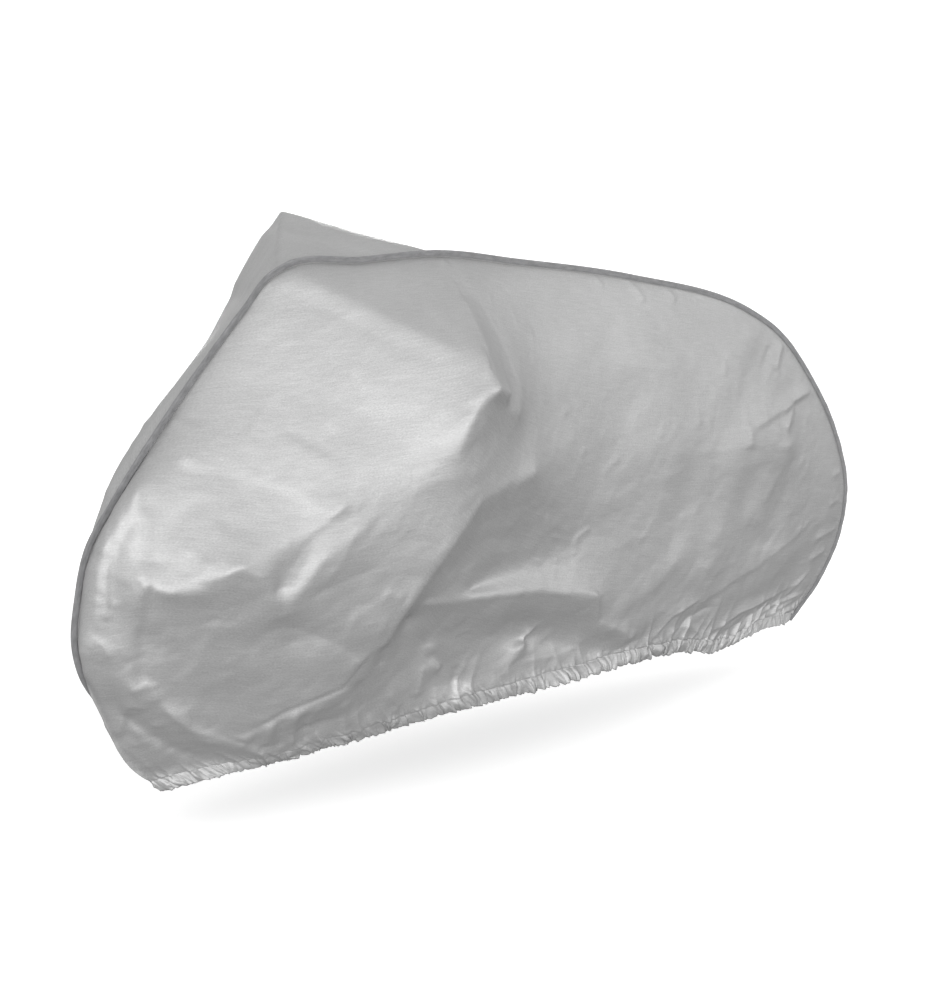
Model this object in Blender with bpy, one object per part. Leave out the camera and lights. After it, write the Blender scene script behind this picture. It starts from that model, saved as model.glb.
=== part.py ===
"""Fitted bicycle cover of silver coated cloth, in the shape in which it drapes.

Two side panels meet along the median line in a standing seam, which a folded tape binds from the
front hem over the top to the rear hem. The cloth is taut between the lines on which it folds: each
panel is a membrane stretched over its own table of fold lines, from the seam down to a gathered hem.

Frame: metres, +X to the rear, +Z up, -Y the near side. The origin is the place under the top seam
on which the cover hangs. `out` is a distance from the median plane, on either side.
"""
import math

import bpy
import numpy as np

# Driving dimensions (metres)
SHEET = 0.0012          # thickness of the cloth
SEAM_GAP = 0.0003       # between pieces that lie on each other
FIN = 0.011             # height of the seam allowance that stands out of the seam
TAPE = 0.001            # thickness of the binding tape
TAPE_CLEAR = 0.0022     # free height of the fin under the binding
TAPE_MIDDLE = 0.007     # height of the binding's middle over the seam
COLUMNS = 64            # cells of a panel from front to rear
ROWS = 26               # cells of a panel from seam to hem
ROW_CROWDING = 1.4      # above 1, rows crowd towards the hem
SOLVE_COLUMNS = 384     # cells of the grid on which a panel's depth is worked out
SOLVE_ROWS = 208
FOLD_PULL = 60.0        # how firmly a fold line holds the cloth
ROUND_STEPS = (0.004, 0.008, 0.016, 0.032)    # sizes to which folds are rounded
ROUNDEST = 0.022        # of cloth far from any fold
FOLD_LINE = 0.004       # width of the line on which it is held
SOLVE_CELL = 0.0044     # mean size of a cell of that grid
SOFTENING = 0.22        # how fast the cloth gets rounder with the distance from a fold
COARSEST = 8            # cells of the fine grid in one of the coarsest, on which the work starts
PASSES = 60             # rounds of settling for each fine cell in a cell of the grid at hand
LINE_STEPS = 40         # steps in which the line through a place is found
CLOTH_COLOUR = (0.56, 0.56, 0.56)
CLOTH_ROUGHNESS = 0.42
TAPE_COLOUR = (0.13, 0.13, 0.135)
TAPE_ROUGHNESS = 0.75

# The middle of the binding, a row for each stretch: x, z, how far it strays to the far side, and by
# how many degrees it leans to that side
NOSE_SEAM = (
    ("front hem end",     -0.430, -0.838, 0.022,  21.0),
    ("under the nose",    -0.490, -0.782, 0.022,  21.0),
    ("low nose",          -0.545, -0.684, 0.016,  25.0),
    ("nose",              -0.580, -0.622, 0.005,  23.0),
    ("nose tip",          -0.592, -0.568, 0.000,  18.0),
    ("nose top",          -0.582, -0.488, 0.000,  12.0),
    ("nose bend",         -0.560, -0.410, 0.000,   4.0),
    ("front slope low",   -0.510, -0.338, 0.000,   0.0),
    ("front slope",       -0.400, -0.203, 0.000, -10.0),
    ("front slope high",  -0.257, -0.049, 0.000, -13.0),
    ("brow",              -0.212, -0.003, 0.000, -12.0),
)
TOP_SEAM = (
    ("behind the brow",   -0.180,  0.012, 0.000, -14.0),
    ("top",               -0.030,  0.009, 0.000, -19.0),
    ("apex",               0.136,  0.005, 0.000, -17.0),
    ("behind the apex",    0.300, -0.025, 0.000, -12.0),
    ("rear slope",         0.567, -0.079, 0.000,  -4.0),
    ("rear slope low",     0.879, -0.178, 0.000,   0.0),
)
TAIL_SEAM = (
    ("tail bend",          0.953, -0.224, 0.000,   0.0),
    ("upper tail",         1.057, -0.337, 0.000,   1.0),
    ("tail",               1.135, -0.463, 0.000,   1.0),
    ("tail end",           1.173, -0.590, 0.000,   1.0),
    ("tail turn",          1.153, -0.697, 0.000,   0.0),
    ("tail low",           1.098, -0.782, 0.000,   0.0),
    ("rear hem end",       1.030, -0.850, 0.004,   3.0),
)

# The hem on either side between its two ends at the seam: x, out, z
NEAR_HEM = (
    ("front edge",        -0.450, 0.000, -0.852),
    ("front turn",        -0.425, 0.034, -0.842),
    ("front",             -0.360, 0.060, -0.830),
    ("front middle",      -0.250, 0.066, -0.830),
    ("behind the front",  -0.130, 0.085, -0.818),
    ("fore middle",        0.000, 0.110, -0.803),
    ("middle",             0.180, 0.125, -0.795),
    ("middle rear",        0.350, 0.125, -0.795),
    ("aft middle",         0.500, 0.105, -0.800),
    ("before the rear",    0.640, 0.080, -0.815),
    ("rear",               0.780, 0.050, -0.848),
    ("rear middle",        0.900, 0.042, -0.835),
    ("rear turn",          0.985, 0.030, -0.838),
)
FAR_HEM = (
    ("front turn",        -0.430, 0.060, -0.836),
    ("front",             -0.360, 0.080, -0.820),
    ("front middle",      -0.250, 0.090, -0.822),
    ("behind the front",  -0.120, 0.105, -0.806),
    ("fore middle",        0.010, 0.130, -0.790),
    ("middle",             0.190, 0.140, -0.780),
    ("middle rear",        0.350, 0.130, -0.785),
    ("aft middle",         0.500, 0.110, -0.800),
    ("before the rear",    0.650, 0.080, -0.810),
    ("rear",               0.780, 0.060, -0.835),
    ("rear middle",        0.900, 0.045, -0.828),
    ("rear turn",          0.985, 0.030, -0.838),
)

# The view in which the folds of the near side were measured, on a picture 951 pixels wide and 1000
# high: where it is seen from, its turn from +X towards +Y and its dip (degrees), and in pixels its
# focal length and middle
VIEW_PLACE = (-1.940, -2.950, 0.565)
VIEW_TURN = 53.9
VIEW_DIP = 15.6
VIEW_FOCAL = 2080.0
VIEW_MIDDLE = (475.5, 500.0)

# Fold lines of the near side that show in that view: how round the fold is, and its points, each by
# its pixels across and down and by how far out it lies (metres)
SEEN_FOLDS = (
    ("shoulder ridge",     0.006, (277, 271, 0.006), (491, 374, 0.245)),
    ("apex ridge",         0.002, (443, 257, 0.006), (460, 297, 0.092), (485, 350, 0.200), (491, 374, 0.245)),
    ("end of the ridge",   0.002, (491, 374, 0.245), (501, 390, 0.265), (511, 394, 0.244)),
    ("under the hook",     0.010, (492, 406, 0.254), (522, 414, 0.212)),
    ("behind the ridge",   0.012, (474, 290, 0.070), (506, 350, 0.140), (521, 388, 0.178)),
    ("tent side",          0.016, (484, 402, 0.262), (472, 426, 0.262), (460, 455, 0.258), (474, 494, 0.252)),
    ("tent edge",          0.001, (480, 500, 0.250), (449, 548, 0.243), (411, 603, 0.222), (384, 641, 0.195)),
    ("tent foot",          0.002, (384, 641, 0.195), (361, 662, 0.175), (344, 690, 0.150), (300, 711, 0.125)),
    ("tent foot front",    0.002, (300, 711, 0.125), (243, 737, 0.092)),
    ("under the foot",     0.012, (392, 690, 0.138), (350, 716, 0.112), (302, 730, 0.092)),
    ("pocket lip",         0.002, (478, 499, 0.250), (505, 486, 0.228), (534, 474, 0.205)),
    ("pocket floor",       0.020, (468, 586, 0.170), (520, 562, 0.152), (566, 552, 0.134)),
    ("pocket side",        0.010, (534, 474, 0.205), (556, 510, 0.155), (578, 542, 0.135), (600, 590, 0.145)),
    ("band lip",           0.002, (428, 602, 0.200), (490, 596, 0.185), (536, 591, 0.172), (597, 597, 0.160)),
    ("band end",           0.003, (597, 597, 0.160), (597, 621, 0.138), (631, 636, 0.125)),
    ("band floor",         0.010, (480, 636, 0.128), (560, 632, 0.108), (592, 650, 0.106)),
    ("facet ridge",        0.002, (537, 627, 0.135), (512, 662, 0.130), (496, 680, 0.125)),
    ("hem step",           0.002, (512, 665, 0.132), (555, 656, 0.126)),
    ("hem step rear",      0.002, (577, 666, 0.120), (620, 650, 0.118), (664, 629, 0.105)),
    ("diagonal trough",    0.004, (406, 618, 0.170), (430, 655, 0.132), (452, 680, 0.112)),
    ("diagonal tip",       0.002, (432, 650, 0.158), (444, 669, 0.145)),
    ("dent lip front",     0.002, (150, 588, 0.118), (178, 593, 0.142), (207, 590, 0.158)),
    ("dent lip",           0.002, (207, 590, 0.158), (245, 569, 0.182), (264, 576, 0.182), (283, 612, 0.172)),
    ("dent floor",         0.020, (160, 646, 0.090), (205, 650, 0.114), (240, 644, 0.128), (268, 656, 0.134)),
    ("dent side",          0.006, (150, 588, 0.118), (140, 630, 0.088), (136, 686, 0.072)),
    ("bright ridge",       0.003, (366, 530, 0.212), (326, 562, 0.198), (285, 613, 0.172)),
    ("valley beside it",   0.010, (346, 508, 0.204), (306, 540, 0.182), (276, 590, 0.164)),
    ("under that ridge",   0.012, (290, 640, 0.142), (335, 640, 0.172)),
    ("second ridge",       0.006, (337, 584, 0.196), (404, 600, 0.222)),
    ("low ridge",          0.002, (136, 690, 0.072), (153, 686, 0.082), (178, 716, 0.086), (207, 737, 0.086)),
    ("low ridge rear",     0.002, (207, 737, 0.086), (262, 752, 0.082)),
    ("front hollow",       0.006, (122, 716, 0.026), (150, 738, 0.040), (200, 764, 0.046)),
    ("nose ridge",         0.004, (138, 492, 0.066), (147, 560, 0.100), (150, 588, 0.118)),
    ("beside nose ridge",  0.006, (124, 520, 0.030), (122, 580, 0.046)),
)

# Fold lines by their real places: from (x, out, z) to (x, out, z), and how round the fold is. On the
# near side they are the soft ones, which show as no line.
SOFT_FOLDS = (
    ("nose wrap",             -0.578, 0.004, -0.640,  -0.536, 0.002, -0.746,  0.004),
    ("nose wrap low",         -0.536, 0.002, -0.746,  -0.476, 0.002, -0.835,  0.004),
    ("rear side high",         0.360, 0.088, -0.200,   0.620, 0.070, -0.250,  0.022),
    ("rear side",              0.420, 0.122, -0.400,   0.750, 0.096, -0.420,  0.022),
    ("tail side",              0.750, 0.096, -0.420,   0.950, 0.068, -0.450,  0.022),
    ("rear side low",          0.550, 0.122, -0.600,   0.720, 0.100, -0.650,  0.022),
    ("tail side low",          0.720, 0.100, -0.650,   0.930, 0.062, -0.680,  0.022),
)
FAR_FOLDS = (
    ("peak to brow",          -0.195, 0.006,  0.000,  -0.030, 0.262,  0.064,  0.004),
    ("peak to apex",          -0.030, 0.262,  0.064,   0.070, 0.120,  0.022,  0.006),
    ("peak to apex low",       0.070, 0.120,  0.022,   0.145, 0.008,  0.000,  0.006),
    ("peak to nose",          -0.030, 0.262,  0.064,  -0.290, 0.128, -0.170,  0.008),
    ("peak to nose low",      -0.290, 0.128, -0.170,  -0.555, 0.012, -0.415,  0.008),
    ("side of the peak",      -0.025, 0.268,  0.050,   0.000, 0.270, -0.240,  0.016),
    ("tent edge",              0.000, 0.270, -0.240,  -0.060, 0.232, -0.540,  0.004),
    ("tent foot",             -0.060, 0.232, -0.540,  -0.140, 0.150, -0.730,  0.004),
    ("behind the tent",        0.090, 0.205, -0.360,   0.010, 0.160, -0.600,  0.008),
    ("rear swag",              0.050, 0.235, -0.110,   0.480, 0.130, -0.470,  0.010),
    ("swag foot",              0.480, 0.130, -0.470,   0.560, 0.115, -0.690,  0.010),
    ("under the swag",         0.170, 0.150, -0.330,   0.410, 0.092, -0.590,  0.012),
    ("side bulge",             0.230, 0.160, -0.540,   0.340, 0.150, -0.650,  0.016),
    ("front dent lip",        -0.480, 0.105, -0.430,  -0.270, 0.175, -0.500,  0.003),
    ("front dent",            -0.450, 0.085, -0.480,  -0.280, 0.140, -0.560,  0.008),
    ("front low ridge",       -0.500, 0.072, -0.660,  -0.290, 0.105, -0.770,  0.003),
    ("rear upper side",        0.330, 0.090, -0.180,   0.620, 0.070, -0.240,  0.020),
    ("rear ridge",             0.700, 0.112, -0.380,   0.640, 0.100, -0.720,  0.010),
    ("rear trough",            0.790, 0.072, -0.420,   0.740, 0.068, -0.680,  0.010),
    ("tail ridge",             0.880, 0.082, -0.430,   0.870, 0.066, -0.720,  0.010),
    ("tail hem fold",          1.010, 0.030, -0.740,   0.800, 0.066, -0.790,  0.004),
)

# Gathers of the hem: waves from front to rear, how far they push the cloth, and where they start
GATHER_WAVES = (
    ("long",   9, 0.0050, 0.3),
    ("short", 15, 0.0035, 1.7),
)
GATHER_REACH = 0.14     # share of a panel's depth over which they die away
GATHER_DRIFT = 0.03     # unevenness of their spacing, as a share of the hem
DRIFT_WAVES = 1.1       # waves of that unevenness

NEAR, FAR = -1.0, 1.0

# A panel's depth is worked out along lines that lead out from the median plane. A line climbs as it
# goes out, by this much at the top and not at all at the bottom, so that a peak higher than the seam
# still lies below its line. Near the nose it also leads forward, to let the cloth bulge past the seam.
NEAR_RISE = 0.0
FAR_RISE = 0.6
RISE_FROM = -0.45       # level at which the climb starts
RISE_FULL = -0.12       # level from which it is whole
NOSE_LEAD = 0.9
LEAD_FROM = -0.25       # place along the cover at which the lead starts
LEAD_FULL = -0.50       # place from which it is whole


def eased(share):
    """A soft step from 0 to 1."""
    share = np.clip(share, 0.0, 1.0)
    return share * share * (3.0 - 2.0 * share)


def curve_through(points):
    """A smooth curve through points, and the share of its length at which each one lies."""
    points = np.array(points)
    steps = np.linalg.norm(np.diff(points, axis=0), axis=1)
    knots = np.concatenate([[0.0], np.cumsum(steps)])
    knots = knots / knots[-1]
    slopes = np.gradient(points, knots, axis=0)

    def at(share):
        share = np.clip(share, 0.0, 1.0)
        span = np.clip(np.searchsorted(knots, share, side="right") - 1, 0, len(points) - 2)
        width = (knots[span + 1] - knots[span])[..., None]
        f = (share - knots[span])[..., None] / width
        start = (1 + 2 * f) * (1 - f) ** 2 * points[span] + f * (1 - f) ** 2 * width * slopes[span]
        end = f * f * (3 - 2 * f) * points[span + 1] - f * f * (1 - f) * width * slopes[span + 1]
        return start + end

    return at, knots


def row_shares(rows):
    """Shares of the way from seam to hem at which a panel's rows lie."""
    return 1.0 - (1.0 - np.linspace(0.0, 1.0, rows + 1)) ** ROW_CROWDING


def seam_line(columns, rows):
    """Places along the seam from front hem to rear hem, the way out of the cloth and the way across."""
    table = NOSE_SEAM + TOP_SEAM + TAIL_SEAM
    at, knots = curve_through([(x, side, z) for _, x, z, side, _ in table])
    brow = knots[len(NOSE_SEAM)]
    bend = knots[len(NOSE_SEAM) + len(TOP_SEAM)]
    down = row_shares(SOLVE_ROWS)
    along = np.linspace(0.0, 1.0, SOLVE_COLUMNS + 1)
    shares = np.concatenate([
        brow * (1.0 - down[:0:-1]), brow + (bend - brow) * along, bend + (1.0 - bend) * down[1:]])
    middle = at(shares)
    lean = np.radians(np.interp(shares, knots, [row[-1] for row in table]))[:, None]
    ahead = np.gradient(middle[:, [0, 2]], axis=0)
    ahead /= np.linalg.norm(ahead, axis=1)[:, None]
    upright = np.stack([-ahead[:, 1], np.zeros(len(ahead)), ahead[:, 0]], axis=-1)
    sideways = np.array([0.0, 1.0, 0.0])
    outwards = np.cos(lean) * upright + np.sin(lean) * sideways
    across = np.cos(lean) * sideways - np.sin(lean) * upright
    keep = np.concatenate([
        np.arange(0, SOLVE_ROWS, SOLVE_ROWS // rows),
        SOLVE_ROWS + np.arange(0, SOLVE_COLUMNS, SOLVE_COLUMNS // columns),
        SOLVE_ROWS + SOLVE_COLUMNS + np.arange(0, SOLVE_ROWS + 1, SOLVE_ROWS // rows)])
    places = middle - TAPE_MIDDLE * outwards
    return places[keep], outwards[keep], across[keep]


def seam_edges(side, columns, rows):
    """A panel's edge along the seam: its front, top and rear stretches, the first and last downwards."""
    places, _, across = seam_line(columns, rows)
    edge = places + side * (SEAM_GAP / 2 + SHEET / 2) * across
    return edge[rows::-1], edge[rows:rows + columns + 1], edge[rows + columns:]


def climb(level, rise):
    """How steeply a line climbs as it leads out from the median plane."""
    return rise * eased((level - RISE_FROM) / (RISE_FULL - RISE_FROM))


def lead(station):
    """How far a line leads forward as it leads out from the median plane."""
    return NOSE_LEAD * eased((station - LEAD_FROM) / (LEAD_FULL - LEAD_FROM))


def on_lines(x, out, z, rise):
    """Place (x, out, z) as (station, level, out), by the line that it lies on."""
    level = np.asarray(z, dtype=float)
    station = np.asarray(x, dtype=float)
    for _ in range(LINE_STEPS):
        level = 0.5 * (level + z - out * climb(level, rise))
        station = 0.5 * (station + x + out * lead(station))
    return np.stack(np.broadcast_arrays(station, level, out), axis=-1).astype(float)


def coordinates(places, rise):
    """Undo on_lines: (station, level, out) as x, out, z."""
    station, level, out = np.moveaxis(places, -1, 0)
    return station - out * lead(station), out, level + out * climb(level, rise)


def coons_patch(front, top, rear, hem, down):
    """A grid spanned between its four edges. Front and rear run from the top edge to the hem."""
    s = np.linspace(0.0, 1.0, len(top))[None, :, None]
    t = down[:, None, None]
    ruled = (1 - t) * top[None] + t * hem[None]
    crossed = (1 - s) * front[:, None] + s * rear[:, None]
    corners = ((1 - s) * (1 - t) * top[0] + s * (1 - t) * top[-1]
               + (1 - s) * t * hem[0] + s * t * hem[-1])
    return ruled + crossed - corners


def seen_at(across, down, out, side):
    """The place (x, out, z) on a side that shows at these pixels of the view and lies so far out."""
    turn, dip = math.radians(VIEW_TURN), math.radians(VIEW_DIP)
    ahead = np.array([math.cos(dip) * math.cos(turn), math.cos(dip) * math.sin(turn), -math.sin(dip)])
    right = np.array([math.sin(turn), -math.cos(turn), 0.0])
    up = np.cross(right, ahead)
    ray = ahead + ((across - VIEW_MIDDLE[0]) * right + (VIEW_MIDDLE[1] - down) * up) / VIEW_FOCAL
    reach = (side * out - VIEW_PLACE[1]) / ray[1]
    return VIEW_PLACE[0] + reach * ray[0], out, VIEW_PLACE[2] + reach * ray[2]


def seen_folds(side):
    """The folds that show in the view, as rows of real places, one for each stretch of a fold."""
    rows = []
    for name, roundness, *points in SEEN_FOLDS:
        places = [seen_at(*point, side) for point in points]
        rows += [(name, *start, *end, roundness) for start, end in zip(places, places[1:])]
    return tuple(rows)


def fold_pull(grid, folds, rise):
    """How hard the folds hold each point of a grid, at which depth, and how round the cloth is."""
    pull = np.zeros(grid.shape[:2])
    held = np.zeros(grid.shape[:2])
    roundness = np.full(grid.shape[:2], ROUNDEST)
    for _, x0, out0, z0, x1, out1, z1, fold_roundness in folds:
        start = on_lines(x0, out0, z0, rise)
        end = on_lines(x1, out1, z1, rise)
        line = end[:2] - start[:2]
        share = np.clip((grid[..., :2] - start[:2]) @ line / (line @ line), 0.0, 1.0)
        foot = start + share[..., None] * (end - start)
        distance = np.linalg.norm(grid[..., :2] - foot[..., :2], axis=-1)
        weight = FOLD_PULL * np.exp(-((distance / FOLD_LINE) ** 2))
        pull += weight
        held += weight * foot[..., 2]
        roundness = np.minimum(roundness, fold_roundness + SOFTENING * distance)
    return pull, held, roundness


def blurred(depth, cells):
    """A grid of depths smoothed over so many cells, with its edges kept."""
    reach = int(3 * cells) + 1
    offsets = np.arange(-reach, reach + 1)
    weights = np.exp(-0.5 * (offsets / cells) ** 2)
    weights /= weights.sum()
    rows, columns = depth.shape
    padded = np.pad(depth, reach, mode="reflect", reflect_type="odd")
    down = sum(weight * padded[k:k + rows] for k, weight in enumerate(weights))
    return sum(weight * down[:, k:k + columns] for k, weight in enumerate(weights))


def rounded(depth, roundness):
    """Round the folds of a grid of depths, each point by its own roundness."""
    steps = ROUND_STEPS
    result = depth
    for small, large in zip((0.0,) + steps[:-1], steps):
        share = np.clip((roundness - small) / (large - small), 0.0, 1.0)
        result = result * (1.0 - share) + blurred(depth, large / SOLVE_CELL) * share
    return result


def relax(depth, pull, held, passes):
    """Let the inner points of a grid settle between their neighbours and the fold lines."""
    for _ in range(passes):
        around = depth[:-2, 1:-1] + depth[2:, 1:-1] + depth[1:-1, :-2] + depth[1:-1, 2:]
        depth[1:-1, 1:-1] = (around + held[1:-1, 1:-1]) / (4.0 + pull[1:-1, 1:-1])
    return depth


def refined(depth, count):
    """Rows of a coarse grid of depths, brought to a finer count of rows."""
    place = np.linspace(0, len(depth) - 1, count)
    low = np.minimum(place.astype(int), len(depth) - 2)
    part = (place - low)[:, None]
    return depth[low] * (1 - part) + depth[low + 1] * part


def stretched(edges_at, folds, rise, columns, rows):
    """A taut sheet over the fold lines, worked out from a coarse grid to a fine one."""
    level = COARSEST
    depth = edges_at(columns // level, rows // level)[..., 2]
    while level >= 1:
        grid = edges_at(columns // level, rows // level)
        depth = refined(refined(depth, grid.shape[0]).T, grid.shape[1]).T.copy()
        depth[0], depth[-1] = grid[0, :, 2], grid[-1, :, 2]
        depth[:, 0], depth[:, -1] = grid[:, 0, 2], grid[:, -1, 2]
        pull, held, roundness = fold_pull(grid, folds, rise)
        depth = relax(depth, pull, held, PASSES * level)
        level //= 2
    grid[..., 2] += rounded(depth - grid[..., 2], roundness)
    return grid


def panel_surface(side, hem_rows, folds, rise, columns, rows):
    """The middle surface of a side panel as a grid of (x, y, z), row 0 on the seam."""

    def edges_at(grid_columns, grid_rows):
        edges = [on_lines(edge[:, 0], side * edge[:, 1], edge[:, 2], rise)
                 for edge in seam_edges(side, grid_columns, grid_rows)]
        front, top, rear = edges
        hem_points = [front[-1]]
        hem_points += [on_lines(x, out, z, rise) for _, x, out, z in hem_rows]
        hem_points.append(rear[-1])
        at, _ = curve_through(hem_points)
        hem = at(np.linspace(0.0, 1.0, grid_columns + 1))
        return coons_patch(front, top, rear, hem, row_shares(grid_rows))

    fine = stretched(edges_at, folds, rise, SOLVE_COLUMNS, SOLVE_ROWS)
    grid = fine[::SOLVE_ROWS // rows, ::SOLVE_COLUMNS // columns]
    x, out, z = coordinates(grid, rise)
    out = out + gathers(columns, rows)
    return np.stack([x, side * out, z], axis=-1)


def gathers(columns, rows):
    """How far the hem's gathers push the cloth out and in, dying away up the cloth."""
    along = np.linspace(0.0, 1.0, columns + 1)[None, :]
    down = row_shares(rows)[:, None]
    fade = np.clip(1.0 - (1.0 - down) / GATHER_REACH, 0.0, 1.0) ** 2
    fade = fade * np.sqrt(np.clip(np.sin(math.pi * along), 0.0, 1.0))
    turn = 2.0 * math.pi
    drifted = along + GATHER_DRIFT * np.sin(turn * DRIFT_WAVES * along)
    wave = sum(height * np.sin(turn * count * drifted + phase)
               for _, count, height, phase in GATHER_WAVES)
    return fade * wave


def new_object(name, vertices, faces, colour, roughness):
    """An object with its own plain material."""
    mesh = bpy.data.meshes.new(name)
    mesh.from_pydata([tuple(v) for v in vertices], [], faces)
    mesh.update()
    material = bpy.data.materials.new(name)
    material.use_nodes = True
    shader = material.node_tree.nodes["Principled BSDF"]
    shader.inputs["Base Color"].default_value = (*colour, 1.0)
    shader.inputs["Roughness"].default_value = roughness
    mesh.materials.append(material)
    piece = bpy.data.objects.new(name, mesh)
    bpy.context.scene.collection.objects.link(piece)
    return piece


def side_panel(name, side, hem_rows, folds, rise):
    """One side of the cover: the draped sheet with its seam allowance, given a thickness."""
    surface = panel_surface(side, hem_rows, folds, rise, COLUMNS, ROWS)
    index = np.arange((ROWS + 1) * (COLUMNS + 1)).reshape(ROWS + 1, COLUMNS + 1)
    border = np.concatenate([index[::-1, 0], index[0, 1:], index[1:, -1]])
    vertices = surface.reshape(-1, 3)
    _, outwards, _ = seam_line(COLUMNS, ROWS)
    fin_edge = vertices[border] + FIN * outwards
    fin = len(vertices) + np.arange(len(border))
    faces = []
    for row in range(ROWS):
        for column in range(COLUMNS):
            faces.append((index[row, column], index[row + 1, column],
                          index[row + 1, column + 1], index[row, column + 1]))
    for k in range(len(border) - 1):
        faces.append((fin[k], border[k], border[k + 1], fin[k + 1]))
    if side == FAR:
        faces = [face[::-1] for face in faces]
    faces = [tuple(int(i) for i in face) for face in faces]
    vertices = np.concatenate([vertices, fin_edge])
    panel = new_object(name, vertices, faces, CLOTH_COLOUR, CLOTH_ROUGHNESS)
    panel.data.shade_smooth()
    sheet = panel.modifiers.new("cloth thickness", "SOLIDIFY")
    sheet.thickness = SHEET
    sheet.offset = 0.0
    return panel


def seam_binding(name):
    """The folded tape over the seam allowance of both panels, a U section along the seam."""
    line, outwards, sideways = seam_line(COLUMNS, ROWS)
    inner = SEAM_GAP / 2 + SHEET + SEAM_GAP
    outer = inner + TAPE
    top_inner = FIN + SEAM_GAP
    top_outer = top_inner + TAPE
    section = (
        (-outer, TAPE_CLEAR), (-outer, top_outer), (outer, top_outer), (outer, TAPE_CLEAR),
        (inner, TAPE_CLEAR), (inner, top_inner), (-inner, top_inner), (-inner, TAPE_CLEAR),
    )
    vertices = []
    for place, out, sideway in zip(line, outwards, sideways):
        for across, up in section:
            vertices.append(place + up * out + across * sideway)
    count = len(section)
    faces = []
    for k in range(len(line) - 1):
        for j in range(count):
            n = (j + 1) % count
            faces.append((k * count + j, (k + 1) * count + j, (k + 1) * count + n, k * count + n))
    last = (len(line) - 1) * count
    for a, b, c, d in ((0, 1, 6, 7), (1, 2, 5, 6), (2, 3, 4, 5)):
        faces.append((a, b, c, d))
        faces.append((last + d, last + c, last + b, last + a))
    return new_object(name, vertices, faces, TAPE_COLOUR, TAPE_ROUGHNESS)


def main():
    for old in list(bpy.data.objects):
        bpy.data.objects.remove(old, do_unlink=True)
    side_panel("panel_near", NEAR, NEAR_HEM, seen_folds(NEAR) + SOFT_FOLDS, NEAR_RISE)
    side_panel("panel_far", FAR, FAR_HEM, FAR_FOLDS, FAR_RISE)
    seam_binding("binding_seam")


main()
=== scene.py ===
"""Looks of a fitted bicycle cover of silver coated cloth, bound along its top seam.

The cloth of each side is the draped sheet of its solid at a finer grid: a membrane stretched over
the same fold lines, on which creases, gathers and puckers are raised by measured and seeded
tables. Metres, +X to the rear, -Y the near side, +Z up, as in the frame. `out` is a distance from
the median plane, on either side.
"""
import math

import bpy
import numpy as np
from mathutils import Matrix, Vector


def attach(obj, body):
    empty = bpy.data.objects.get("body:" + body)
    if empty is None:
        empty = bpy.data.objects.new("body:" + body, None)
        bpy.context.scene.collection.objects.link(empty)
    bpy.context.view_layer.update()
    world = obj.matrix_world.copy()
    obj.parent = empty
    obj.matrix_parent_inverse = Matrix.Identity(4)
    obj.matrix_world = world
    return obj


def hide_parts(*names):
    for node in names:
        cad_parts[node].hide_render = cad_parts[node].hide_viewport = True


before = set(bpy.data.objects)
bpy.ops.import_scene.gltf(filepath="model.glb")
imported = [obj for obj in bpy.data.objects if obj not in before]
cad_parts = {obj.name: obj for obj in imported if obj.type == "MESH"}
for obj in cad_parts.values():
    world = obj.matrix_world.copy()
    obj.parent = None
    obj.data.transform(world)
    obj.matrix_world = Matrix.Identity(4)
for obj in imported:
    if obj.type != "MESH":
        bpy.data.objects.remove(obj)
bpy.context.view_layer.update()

# Driving dimensions (metres)
SEAM_GAP = 0.0003  # between the two cloths of the seam allowance
SHEET = 0.0012  # thickness of the cloth's solid
FIN = 0.011  # height of the seam allowance that stands out of the seam
TAPE = 0.001  # thickness of the binding tape
TAPE_CLEAR = 0.0022  # free height of the seam allowance under the tape
TAPE_MIDDLE = 0.007  # height of the tape's middle over the seam
TAPE_INSIDE = SEAM_GAP / 2 + SHEET + SEAM_GAP  # from the seam's middle to its inner face
TAPE_OUTSIDE = TAPE_INSIDE + TAPE
TAPE_TOP = FIN + SEAM_GAP + TAPE
TAPE_ROUND = 0.55  # height of its round back, by half its width
BACK_POINTS = 7  # round that back
TAPE_WAVER = 0.0004  # how far its sides bulge between stitches
WAVER_STEP = 0.012
LOW_PART, LOW_WAVER = 0.7, 0.5  # the share of its height that bulges less, and by how much
STITCH_PITCH = 0.0042  # of the tape's stitches
STITCH_UNEVEN = 0.15  # how far each one is off its place, by the pitch
STITCH_LENGTH = 0.0030
STITCH_RADIUS = 0.00042
STITCH_HEIGHT = 0.0042  # of their line over the seam
STITCH_RISE = 0.0003  # how much higher a stitch ends than it starts
STITCH_DEPTH = 0.95  # of their line in the tape, by the tape's outer face
STITCH_SIDES = 6
TAPE_SIDE = (  # the tape's section up one side: how far out, by its outer face, and how high
    (1.0, TAPE_CLEAR), (1.04, 0.5 * (TAPE_CLEAR + STITCH_HEIGHT)), (0.92, STITCH_HEIGHT),
    (1.05, 0.6 * TAPE_TOP))
STITCH_SHAPE = (  # rings of a stitch: share of its length and radius, and radii that it stands out
    (-0.5, 0.35, -0.9), (-0.25, 1.0, 0.1), (0.25, 1.0, 0.1), (0.5, 0.35, -0.9))
CASING = 0.027  # height of the hem's casing, which holds the elastic
HEM_STRIP = 0.070  # height of the gathered strip that ends in the casing
STRIP_ROWS = 16  # rows of cells in that strip above the stitch line
CASING_CELLS = 1500  # along a side's hem
FLOOR_Z = -0.925  # level of the floor
FLOOR_SIZE = 130.0
MILLI = 0.001
SEED = 26

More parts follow.
